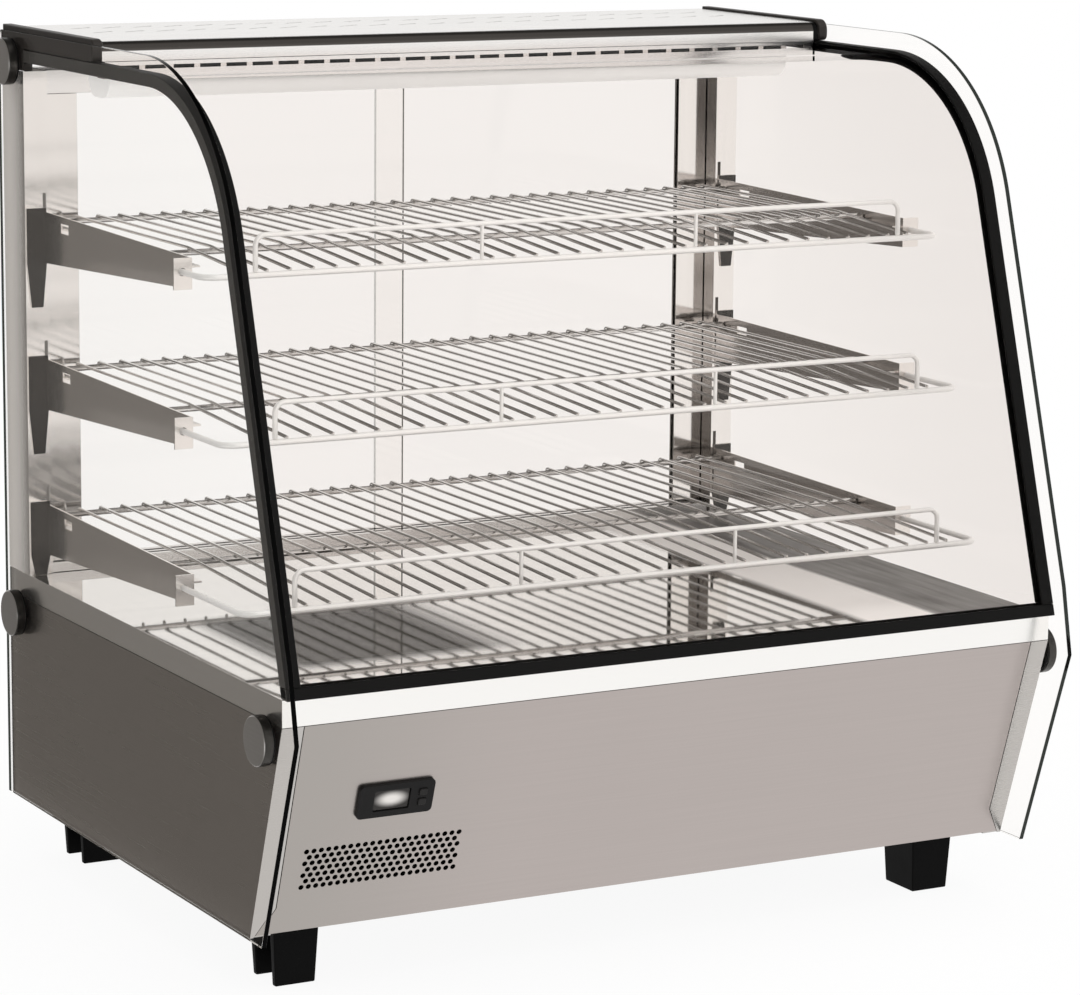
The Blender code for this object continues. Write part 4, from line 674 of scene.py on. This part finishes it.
def recoloured(finish, colour, metallic, masks):
    """Another colour where all the masks are 1, and a metallic share unless it is None."""
    tree = finish.node_tree
    shader = tree.nodes["Principled BSDF"]
    before = shader.inputs["Base Color"].links[0].from_socket
    mask = product(tree, *[maker(tree) for maker in masks])
    tree.links.new(blend_colour(tree, mask, before, rgba(colour)), shader.inputs["Base Color"])
    if metallic is not None:
        share = shader.inputs["Metallic"]
        before = share.links[0].from_socket if share.links else share.default_value
        tree.links.new(blend_value(tree, mask, before, metallic), share)


window_low, window_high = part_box("display_window")
BLACK = (0.01, 0.01, 0.01)
HOOD_END = (zone("X", 0.3210, 0.3215), zone("Y", 0.110, 0.105), zone("Z", 0.655, 0.656))
RIGHT_POST_SHADE = (SIDEWAYS, zone("X", 0.27, 0.28))
DECK_PALE_REFLECTION = (UPWARD, zone("X", 0.180, 0.195), zone("X", 0.257, 0.249))
DECK_RIM_REFLECTION = (UPWARD, zone("X", 0.249, 0.257), streaks)
DECK_PATCH_REFLECTION = (
    UPWARD, zone("X", -0.30, -0.27), zone("X", -0.07, -0.14),
    zone("Y", -0.19, -0.155), zone("Y", 0.03, -0.01),
)
NOSE_REFLECTION_BAND = (zone("Z", 0.6822, 0.6828), zone("Z", 0.6900, 0.6893), zone("Y", 0.0990, 0.0975))

# Finish, colour, metallic share and place of each tone laid over another, in the order laid
TONES = (
    # Painted light on the hood: its front-facing faces get a painted bright tone of their own and
    # its nose a painted dark reflection band; its right end is black
    (TOP_STEEL, (0.88, 0.865, 0.85), None, (LENGTHWAYS, zone("Y", 0.110, 0.100))),
    (TOP_STEEL, (0.085, 0.078, 0.072), None, NOSE_REFLECTION_BAND),
    (TOP_STEEL, BLACK, None, HOOD_END),
    # Painted highlight: the trim's front- and back-facing faces are painted brighter
    (TRIM_STEEL, (0.90, 0.89, 0.88), None, (LENGTHWAYS,)),
    (TRIM_STEEL, BLACK, None, HOOD_END),
    # Painted shade and reflection on the brackets: the right ones' side faces are painted duller,
    # and their front-facing root plates a painted dark reflection
    (BRACKET_STEEL, (0.70, 0.672, 0.65), None, (SIDEWAYS, zone("X", 0.0, 0.1))),
    (BRACKET_STEEL, (0.075, 0.072, 0.068), None, (LENGTHWAYS, zone("Y", 0.20, 0.21))),
    # Painted sheen greys the left rubber's outer faces; the base's up-facing flanges get painted
    # shade and its front- and back-facing faces a painted lighter tone
    (SEAL_RUBBER, (0.055, 0.052, 0.048), None, (SIDEWAYS, zone("X", -0.30, -0.31))),
    (SIDE_STEEL, (0.33, 0.305, 0.285), None, (UPWARD,)),
    (SIDE_STEEL, (0.52, 0.50, 0.48), None, (LENGTHWAYS,)),
    # Painted reflection turns the left post's outer side a flatter grey towards the rear; painted
    # shade darkens the right post's sides, most of all higher up
    (POST_STEEL, (0.66, 0.63, 0.60), 0.1,
     (SIDEWAYS, zone("X", -0.330, -0.334), zone("Y", 0.232, 0.272))),
    (POST_STEEL, (0.50, 0.475, 0.455), None, RIGHT_POST_SHADE),
    (POST_STEEL, (0.11, 0.102, 0.094), None, (*RIGHT_POST_SHADE, zone("Z", 0.53, 0.60))),
    # Painted highlight: a pale oval in the middle of the display window
    (WINDOW_GLOSS, (0.80, 0.77, 0.74), None,
     (spot((window_low + window_high) / 2, 0.0165, 0.0075),)),
    # Painted shade: the front glass is tinted darker towards the right
    (FRONT_PANE, (0.85, 0.815, 0.795), None, (zone("X", 0.0, 0.33),)),
    # Painted reflection: the front panel is painted darker towards the left
    (PANEL_STEEL, (0.40, 0.372, 0.348), None, (zone("X", -0.10, -0.33),)),
    # Painted dark reflection on the steel caps' sides below their faces
    (CAP_STEEL, (0.06, 0.057, 0.053), None, (zone("X", 0.3480, 0.3474, size_only=True),)),
    # Painted reflections on the deck: a pale strip and a dark streaked rim to the right, and a dark
    # patch to the left
    (DECK_STEEL, (0.86, 0.83, 0.805), 0.0, DECK_PALE_REFLECTION),
    (DECK_STEEL, (0.12, 0.113, 0.106), 0.0, DECK_RIM_REFLECTION),
    (DECK_STEEL, (0.085, 0.080, 0.073), 0.45, DECK_PATCH_REFLECTION),
)
for tone in TONES:
    recoloured(*tone)


# CAD nodes that are shown with eased edges, and those that keep their own mesh

BODIES = frame["record"]["behaviour"]["bodies"]
BODY_OF = {node: body for body, nodes in BODIES.items() for node in nodes}
EASED = (
    (SIDE_STEEL, 0.0004, ["base_side_" + name for name in PAIR] + ["base_back"]),
    (DECK_STEEL, 0.0005, ["deck_tray"]),
    (TOP_STEEL, SHEET_EASE, ["hood_top"]),
    (TRIM_STEEL, SHEET_EASE, ["lamp_housing", "door_header", "door_sill"]),
    (POST_STEEL, SHEET_EASE, ["rear_post_" + name for name in PAIR]),
    (POST_STEEL, SHEET_EASE, ["door_stile_" + name for name in PAIR]),
    (BRACKET_STEEL, SHEET_EASE, ["bracket_%s_%d" % (name, n) for name in PAIR for n in (1, 2, 3)]),
    (BLACK_MOULD, 0.0008, ["controller_bezel", "switch_frame"]),
    (FOOT_MOULD, 0.0012, ["foot_%s_%s" % (at, name) for at in ("front", "rear") for name in PAIR]),
    (WINDOW_GLOSS, 0.0005, ["display_window"]),
    (KEY_MOULD, 0.0006, ["key_up", "key_down", "rocker_light", "rocker_power"]),
    (COVER_WHITE, 0.0004, ["lamp_cover"]),
    (DOOR_PANE, 0.0004, ["door_glass_" + name for name in PAIR]),
)
KEPT_AS_THEY_ARE = (
    (HIDDEN_STEEL, ["base_bottom", "fan_rotor"]),
    (HEATER_STEEL, ["heater_element"]),
    (BLACK_MOULD, ["cable_gland", "fan_frame"]),
    (COVER_WHITE, ["lamp_tube"]),
)

for finish, width, nodes in EASED:
    for node in nodes:
        show(node + "_eased", eased(node, width), finish, BODY_OF[node], [node])
for finish, nodes in KEPT_AS_THEY_ARE:
    for node in nodes:
        materials = frame["nodes"][node].data.materials
        materials.clear()
        materials.append(finish)


def make_front_panel():
    """The folded panel with its perforation cut again as true rounds in staggered rows.

    Hole (row, column) lies at corner + x (column + odd / 2) pitch - up row pitch sin(60 degrees).
    """
    lean = math.atan2(PANEL_TOE_Y - PANEL_TOP_Y, PANEL_TOP_Z - BASE_BOTTOM_Z)
    up = np.array([0.0, -math.sin(lean), math.cos(lean)])
    out = np.array([0.0, -math.cos(lean), -math.sin(lean)])
    share = (PANEL_TOP_Z - VENT_TOP_Z) / (PANEL_TOP_Z - BASE_BOTTOM_Z)
    corner_y = PANEL_TOP_Y + (PANEL_TOE_Y - PANEL_TOP_Y) * share
    turn = np.arange(VENT_SIDES)[:, None] * 2 * np.pi / VENT_SIDES
    circle = VENT_RADIUS * (np.cos(turn) * np.array([1.0, 0.0, 0.0]) + np.sin(turn) * up)
    drill = np.stack([circle - DRILL_REACH * out, circle + DRILL_REACH * out])
    drill = drill + np.array([VENT_LEFT_X, corner_y, VENT_TOP_Z])
    sheets = []
    for row in range(VENT_ROWS):
        odd = row % 2
        down = up * (row * VENT_PITCH * math.sin(math.pi / 3))
        for column in range(VENT_COLUMNS - odd):
            sheets.append(drill + np.array([(column + odd / 2) * VENT_PITCH, 0.0, 0.0]) - down)
    cutter = bpy.data.objects.new("vent_drill", mesh_of("vent_drill", sheets))
    blank = eased("front_panel", SHEET_EASE, shortest=DRILLED_EDGE)
    blank = bpy.data.objects.new("front_panel_blank", blank)
    for item in (cutter, blank):
        bpy.context.scene.collection.objects.link(item)
    cut = blank.modifiers.new("vent", "BOOLEAN")
    cut.object, cut.operation, cut.solver = cutter, "DIFFERENCE", "EXACT"
    view = bpy.context.evaluated_depsgraph_get()
    mesh = bpy.data.meshes.new_from_object(blank.evaluated_get(view))
    mesh.name = "front_panel"
    for item in (cutter, blank):
        bpy.data.objects.remove(item)
    mesh.set_sharp_from_angle(angle=SHARP_ANGLE)
    show("front_panel_sheet", mesh, PANEL_STEEL, "case", ["front_panel"])


# Glass, seals, fixings and hood ends

def make_side_glass(name, side):
    """The side pane: the brow line, the belt and the toe, with a round upper rear corner."""
    turn, corner = np.linspace(0.0, np.pi / 2, 8), GLASS_CORNER
    rear_y, rear_z = REAR_Y - corner, GLASS_TOP_Z - corner
    rear = np.stack([rear_y + corner * np.cos(turn), rear_z + corner * np.sin(turn)], -1)
    brow = brow_line(0.0, foot_z=BEND_Z, steps=72)[1:]
    outline = [[[REAR_Y, BASE_BOTTOM_Z]], rear, brow, [BELT, (TOE_Y, BASE_BOTTOM_Z)]]
    sheet = plate(np.concatenate(outline), side * HALF_GLASS, side * HALF_CASE, GLASS_ARRIS)
    node = "side_glass_" + name
    show(node + "_pane", mesh_of(node, [sheet]), SIDE_PANE, "case", [node])


def make_front_glass():
    """The bent pane: a thin section with cut arrises, run along the brow line."""
    half, outer, inner = HALF_BASE - FRONT_GLASS_MARGIN, FRONT_INSET, FRONT_INSET + FRONT_GLASS
    cut = GLASS_ARRIS
    section = [
        (outer, -half + cut), (outer, half - cut), (outer + cut, half), (inner - cut, half),
        (inner, half - cut), (inner, -half + cut), (inner - cut, -half), (outer + cut, -half),
    ]
    mesh = mesh_of("front_glass", [along_brow(section)])
    show("front_glass_pane", mesh, FRONT_PANE, "case", ["front_glass"])


def make_side_seal(name, side):
    """The U-shaped edge rubber with round lips, run along the brow line beside a side glass."""
    rear, free = HALF_BASE, HALF_BASE - SEAL_WIDTH
    groove = free + SEAL_WIDTH - SEAL_BASE
    outer, inner = FRONT_INSET - SEAL_LIP, FRONT_INSET + FRONT_GLASS + SEAL_LIP
    near, far = FRONT_INSET - GAP, FRONT_INSET + FRONT_GLASS + GAP
    outline = [
        (outer, rear), (outer, free), (near, free), (near, groove),
        (far, groove), (far, free), (inner, free), (inner, rear),
    ]
    foot = SILL_SEAL_Z + SILL_SEAL_HEIGHT + GAP
    section = softened(outline, RUBBER_ROUND)
    strip = along_brow(section, side, rear_y=POST_FRONT_Y - GAP, foot_z=foot)
    node = "seal_" + name
    show(node + "_rubber", mesh_of(node, [strip]), SEAL_RUBBER, "case", [node])


def make_sill_seal():
    """The strip under the front glass: a leaning U section carried straight across the case."""
    def y_at(inset, z):
        return brow_line(inset, foot_z=z, steps=8)[-1, 0]

    lean, outer, inner = math.tan(FRONT_SLOPE), FRONT_INSET, FRONT_INSET + FRONT_GLASS
    low, top, slot = SILL_SEAL_Z, SILL_SEAL_Z + SILL_SEAL_HEIGHT, FRONT_GLASS_FOOT_Z - GAP
    front, rear = y_at(outer, low) - SEAL_LIP, y_at(inner, low) + SEAL_LIP
    near, far = y_at(outer, slot) - GAP, y_at(inner, slot) + GAP
    rise, height = (top - slot) * lean, SILL_SEAL_HEIGHT * lean
    outline = [
        (front, low), (rear, low), (rear + height, top), (far + rise, top),
        (far, slot), (near, slot), (near + rise, top), (front + height, top),
    ]
    sheet = plate(softened(outline, RUBBER_ROUND), -HALF_BASE, HALF_BASE, RUBBER_EASE)
    mesh = mesh_of("seal_sill", [sheet])
    show("seal_sill_rubber", mesh, SEAL_RUBBER, "case", ["seal_sill"])


def make_fixing(key, name, side, centre):
    """A turned cap and its washer: straight side, quarter-round rim, very slightly domed face."""
    face, radius = HALF_CASE + GAP, CAP_RADIUS
    tip = face + CAP_HEIGHT
    turn = np.linspace(0.0, np.pi / 2, 7)
    rim_foot, rim_core = tip - CAP_DOME - CAP_RIM, radius - CAP_RIM
    rim = np.stack([rim_foot + CAP_RIM * np.sin(turn), rim_core + CAP_RIM * np.cos(turn)], -1)
    rise, inward = np.linspace(0.2, 1.0, 5), np.linspace(0.82, 0.02, 5)
    dome = np.stack([tip - CAP_DOME + CAP_DOME * rise, radius * inward], -1)
    foot = [(face + WASHER, radius - STEM_EASE), (face + CAP_FOOT, radius)]
    body = np.concatenate([foot, rim, dome])
    body[:, 0] *= side
    node = "fixing_%s_%s" % (key, name)
    mesh = mesh_of(node, [turned(body, 72, centre)])
    show(node + "_cap", mesh, CAP_STEEL, "case", [node])
    stem_tip = HALF_GLASS - STEM_REACH
    washer = np.array([
        (stem_tip, STEM_RADIUS - STEM_EASE), (stem_tip + STEM_EASE, STEM_RADIUS),
        (face, STEM_RADIUS), (face, radius - WASHER_INSET), (face + WASHER, radius - WASHER_INSET),
    ])
    washer[:, 0] *= side
    mesh = mesh_of(node + "_washer", [turned(washer, 48, centre)])
    show(node + "_washer", mesh, SEAL_RUBBER, "case", ())


def make_hood_cap(name, side):
    """The moulded end of the hood: deep over the post, shallow over the seal, with round edges."""
    nose, front = HOOD_NOSE, HOOD_FRONT_Y + HOOD_NOSE
    turn = np.linspace(np.pi / 2, np.pi, 7)
    brow = np.stack([front + nose * np.cos(turn), HOOD_TOP_Z - nose + nose * np.sin(turn)], -1)
    turn = np.linspace(np.pi, 3 * np.pi / 2, 5)
    chin_y, chin_z = nose / 2 * (1 + np.cos(turn)), nose / 2 * (1 + np.sin(turn))
    chin = np.stack([HOOD_FRONT_Y + chin_y, HOOD_EAVE_Z + chin_z], -1)
    rear = [(HOOD_REAR_Y, HOOD_LOW_Z), (HOOD_REAR_Y, HOOD_TOP_Z)]
    under = [(POST_FRONT_Y, HOOD_EAVE_Z), (POST_FRONT_Y, HOOD_LOW_Z)]
    outline = np.concatenate([rear, brow, chin, under])
    inner = HALF_BASE - HOOD_END_THICKNESS
    sheet = plate(outline, side * inner, side * HALF_BASE, MOULDING_EASE)
    node = "hood_cap_" + name
    show(node + "_moulding", mesh_of(node, [sheet]), CAP_MOULD, "case", [node])


def make_rack(number):
    """Round wires over cross rods, sloped down from the middle rod and hooked over the rear one.

    One wire's path is carried along its length and repeated at the wires' pitch; the front rod
    with its two arms is a piece of its own, and so is the fence that stands on it.
    """
    rack, fence, body = "rack_%d" % number, "fence_%d" % number, "shelf_%d" % number
    low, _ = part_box(rack)
    arm_z, front = low.z + ROD_RADIUS * math.cos(math.pi / 6), low.y + ROD_RADIUS
    rod_z = arm_z + RACK_RISE
    lift = ROD_RADIUS + WIRE_RADIUS - WELD
    top = rod_z + lift
    corners = [
        (front - WIRE_TIP, arm_z + lift), (MID_ROD_Y, top), (HOOK_Y, top),
        (HOOK_TIP_Y, top - HOOK_DROP),
    ]
    line = np.insert(bent(corners, WIRE_BEND, 6), 0, 0.0, axis=1)
    wire = tube(line, WIRE_RADIUS, 8, (1.0, 0.0, 0.0))
    x = (np.arange(WIRE_COUNT) - (WIRE_COUNT - 1) / 2) * WIRE_PITCH
    sheets = [wire + np.array([shift, 0.0, 0.0]) for shift in x]
    for y, level in ((MID_ROD_Y, rod_z - MID_ROD_DROP), (REAR_ROD_Y, rod_z)):
        cross = np.linspace((-HALF_ROD, y, level), (HALF_ROD, y, level), 4)
        sheets.append(tube(cross, ROD_RADIUS, 14, (0.0, 0.0, 1.0)))
    corners = [
        (-ARM_X, ARM_TIP_Y, arm_z), (-ARM_X, front, arm_z),
        (ARM_X, front, arm_z), (ARM_X, ARM_TIP_Y, arm_z),
    ]
    arm = tube(bent(corners, ARM_BEND, 10), ROD_RADIUS, 14, (0.0, 0.0, 1.0))
    rod = mesh_of("rack_rod_%d" % number, [arm])
    show(rack + "_front_rod", rod, FENCE_PLATE, body, (), False)
    wires = mesh_of(rack, sheets)
    show(rack + "_wires", wires, WIRE_PLATE, body, [rack], False)

    foot, rail = arm_z + ROD_RADIUS, arm_z + FENCE_HEIGHT
    corners = [
        (-FENCE_X, front, foot), (-FENCE_X, front, rail),
        (FENCE_X, front, rail), (FENCE_X, front, foot),
    ]
    sheets = [tube(bent(corners, FENCE_BEND, 10), FENCE_RADIUS, 12, (0.0, 1.0, 0.0))]
    for shift in (-FENCE_X / 3, FENCE_X / 3):
        post = np.linspace((shift, front, foot), (shift, front, rail), 4)
        sheets.append(tube(post, POST_RADIUS, 12, (0.0, 1.0, 0.0)))
    rails = mesh_of(fence, sheets)
    show(fence + "_rail", rails, FENCE_PLATE, body, [fence], False)


make_front_panel()
for label, direction in SIDES:
    make_side_glass(label, direction)
    make_hood_cap(label, direction)
    make_side_seal(label, direction)
    for key, centre in FIXINGS:
        make_fixing(key, label, direction, centre)
make_front_glass()
make_sill_seal()
for shelf in (1, 2, 3):
    make_rack(shelf)


# Stage, light and camera

NEAR_WHITE, WHITE = 0.93, (1.0, 1.0, 1.0)
DARK_SIDE = (0.17, 0.162, 0.153)
FLOOR_SIZE, FLOOR_TONES = 30, ((0.93, 0.93, 0.93), (0.94, 0.94, 0.94))
ROOF_TONES = ((1.0, 0.995, 0.985), (0.16, 0.155, 0.15), (0.72, 0.71, 0.70))
ROOM_LIGHT = (0.74, 0.735, 0.73)
LAMP_AIM = (0.0, 0.0, 0.3)
LAMPS = (
    ("top_soft", (0.3, -0.4, 2.6), 2.4, 2.0, 26.0),
    ("front_soft", (1.2, -2.6, 1.6), 1.8, 1.6, 14.0),
)
# The camera was solved from the case's own edges; its focal length is in pixels of the photograph
PHOTO_WIDTH, FOCAL_PIXELS, SENSOR_WIDTH, FAR_CLIP = 1080, 4017.706, 36.0, 200.0
CAMERA_PLACE = (-1.51579, -2.80897, 0.91403)
CAMERA_TURN = (-28.5517, 10.5252, 0.5462)


def depth_test(tree, output, operation):
    """1 where a ray's count of bounces is over, or under, one half."""
    path = tree.nodes.new("ShaderNodeLightPath")
    test = add(tree, "ShaderNodeMath", {"operation": operation})
    tree.links.new(path.outputs[output], test.inputs[0])
    test.inputs[1].default_value = 0.5
    return test.outputs[0]


def seen_straight(tree):
    """1 for rays that no dull surface has scattered: mirrors and panes show the backdrop."""
    return depth_test(tree, "Diffuse Depth", "LESS_THAN")


def seen_in_mirror(tree):
    return depth_test(tree, "Glossy Depth", "GREATER_THAN")


def make_stage():
    """A white floor that keeps a soft shadow near the case; metal mirrors it dark to the left."""
    floor, reach = bpy.data.meshes.new("floor"), FLOOR_SIZE
    corners = [(-reach, -reach, 0), (reach, -reach, 0), (reach, reach, 0), (-reach, reach, 0)]
    floor.from_pydata(corners, [], [(0, 1, 2, 3)])
    made, tree, shader = material("floor_white")
    tone = noise(tree, coordinate(tree), 0.6, 1.0)
    tone = blend_colour(tree, tone, *map(rgba, FLOOR_TONES))
    tree.links.new(tone, shader.inputs["Base Color"])
    shader.inputs["Roughness"].default_value = 0.9
    shader.inputs["Specular IOR Level"].default_value = 0.0
    mirrored = seen_in_mirror(tree)
    distance = vector_step(tree, "LENGTH", coordinate(tree))
    far = blend_value(tree, ramp_between(tree, distance, 0.5, 1.3), NEAR_WHITE, 1.0)
    far = blend_value(tree, mirrored, far, 1.0)
    left, behind = zone("X", -0.345, -0.40)(tree), zone("Y", -0.45, -0.25)(tree)
    glow = tree.nodes.new("ShaderNodeEmission")
    shade = product(tree, mirrored, left, behind)
    colour = blend_colour(tree, shade, rgba(WHITE), rgba(DARK_SIDE))
    tree.links.new(colour, glow.inputs["Color"])
    mix_shaders(tree, product(tree, far, seen_straight(tree)), shader, glow)
    floor.materials.append(made)
    ground = bpy.data.objects.new("floor", floor)
    bpy.context.scene.collection.objects.link(ground)


def make_world():
    """White seen straight or through glass; mirrors see it dark overhead and to the left."""
    world = bpy.data.worlds.new("studio")
    bpy.context.scene.world = world
    world.use_nodes = True
    tree = world.node_tree
    split = tree.nodes.new("ShaderNodeSeparateXYZ")
    coords = tree.nodes.new("ShaderNodeTexCoord")
    tree.links.new(coords.outputs["Generated"], split.inputs[0])
    leftward = ramp_between(tree, split.outputs["X"], -0.05, -0.30)
    upward = ramp_between(tree, split.outputs["Z"], 0.38, 0.62)
    frontward = ramp_between(tree, split.outputs["Y"], 0.10, -0.20)
    wall, roof, front_roof = map(rgba, ROOF_TONES)
    room = blend_colour(tree, upward, wall, roof)
    room = blend_colour(tree, product(tree, frontward, upward), room, front_roof)
    room = blend_colour(tree, leftward, room, rgba(DARK_SIDE))
    seen = blend_colour(tree, seen_in_mirror(tree), rgba(WHITE), room)
    colour = blend_colour(tree, seen_straight(tree), rgba(ROOM_LIGHT), seen)
    tree.links.new(colour, tree.nodes["Background"].inputs["Color"])
    tree.nodes["Background"].inputs["Strength"].default_value = 1.0


def make_lamp(name, place, width, height, watts):
    """A soft rectangle of light that no picture or mirror shows."""
    data = bpy.data.lights.new(name, "AREA")
    data.shape = "RECTANGLE"
    data.size, data.size_y = width, height
    data.energy = watts
    lamp = bpy.data.objects.new(name, data)
    lamp.location = place
    lamp.rotation_mode = "QUATERNION"
    lamp.rotation_quaternion = (Vector(LAMP_AIM) - Vector(place)).to_track_quat("-Z", "Y")
    lamp.visible_camera = False
    lamp.visible_glossy = False
    lamp.visible_transmission = False
    bpy.context.scene.collection.objects.link(lamp)


def make_camera():
    """The photograph's view, from its place and its yaw, pitch and roll."""
    yaw, pitch, roll = map(math.radians, CAMERA_TURN)
    flat = math.cos(pitch)
    forward = Vector((-math.sin(yaw) * flat, math.cos(yaw) * flat, -math.sin(pitch)))
    level = Vector((math.cos(yaw), math.sin(yaw), 0.0))
    upright = level.cross(forward)
    right = level * math.cos(roll) + upright * math.sin(roll)
    up = upright * math.cos(roll) - level * math.sin(roll)
    data = bpy.data.cameras.new("camera")
    data.sensor_width = SENSOR_WIDTH
    data.lens = FOCAL_PIXELS / PHOTO_WIDTH * SENSOR_WIDTH
    data.clip_end = FAR_CLIP
    camera = bpy.data.objects.new("camera", data)
    turn = Matrix((right, up, -forward)).transposed().to_4x4()
    camera.matrix_world = Matrix.Translation(CAMERA_PLACE) @ turn
    bpy.context.scene.collection.objects.link(camera)
    bpy.context.scene.camera = camera


make_stage()
make_world()
for lamp in LAMPS:
    make_lamp(*lamp)
make_camera()
bpy.context.scene.view_settings.view_transform = "Standard"
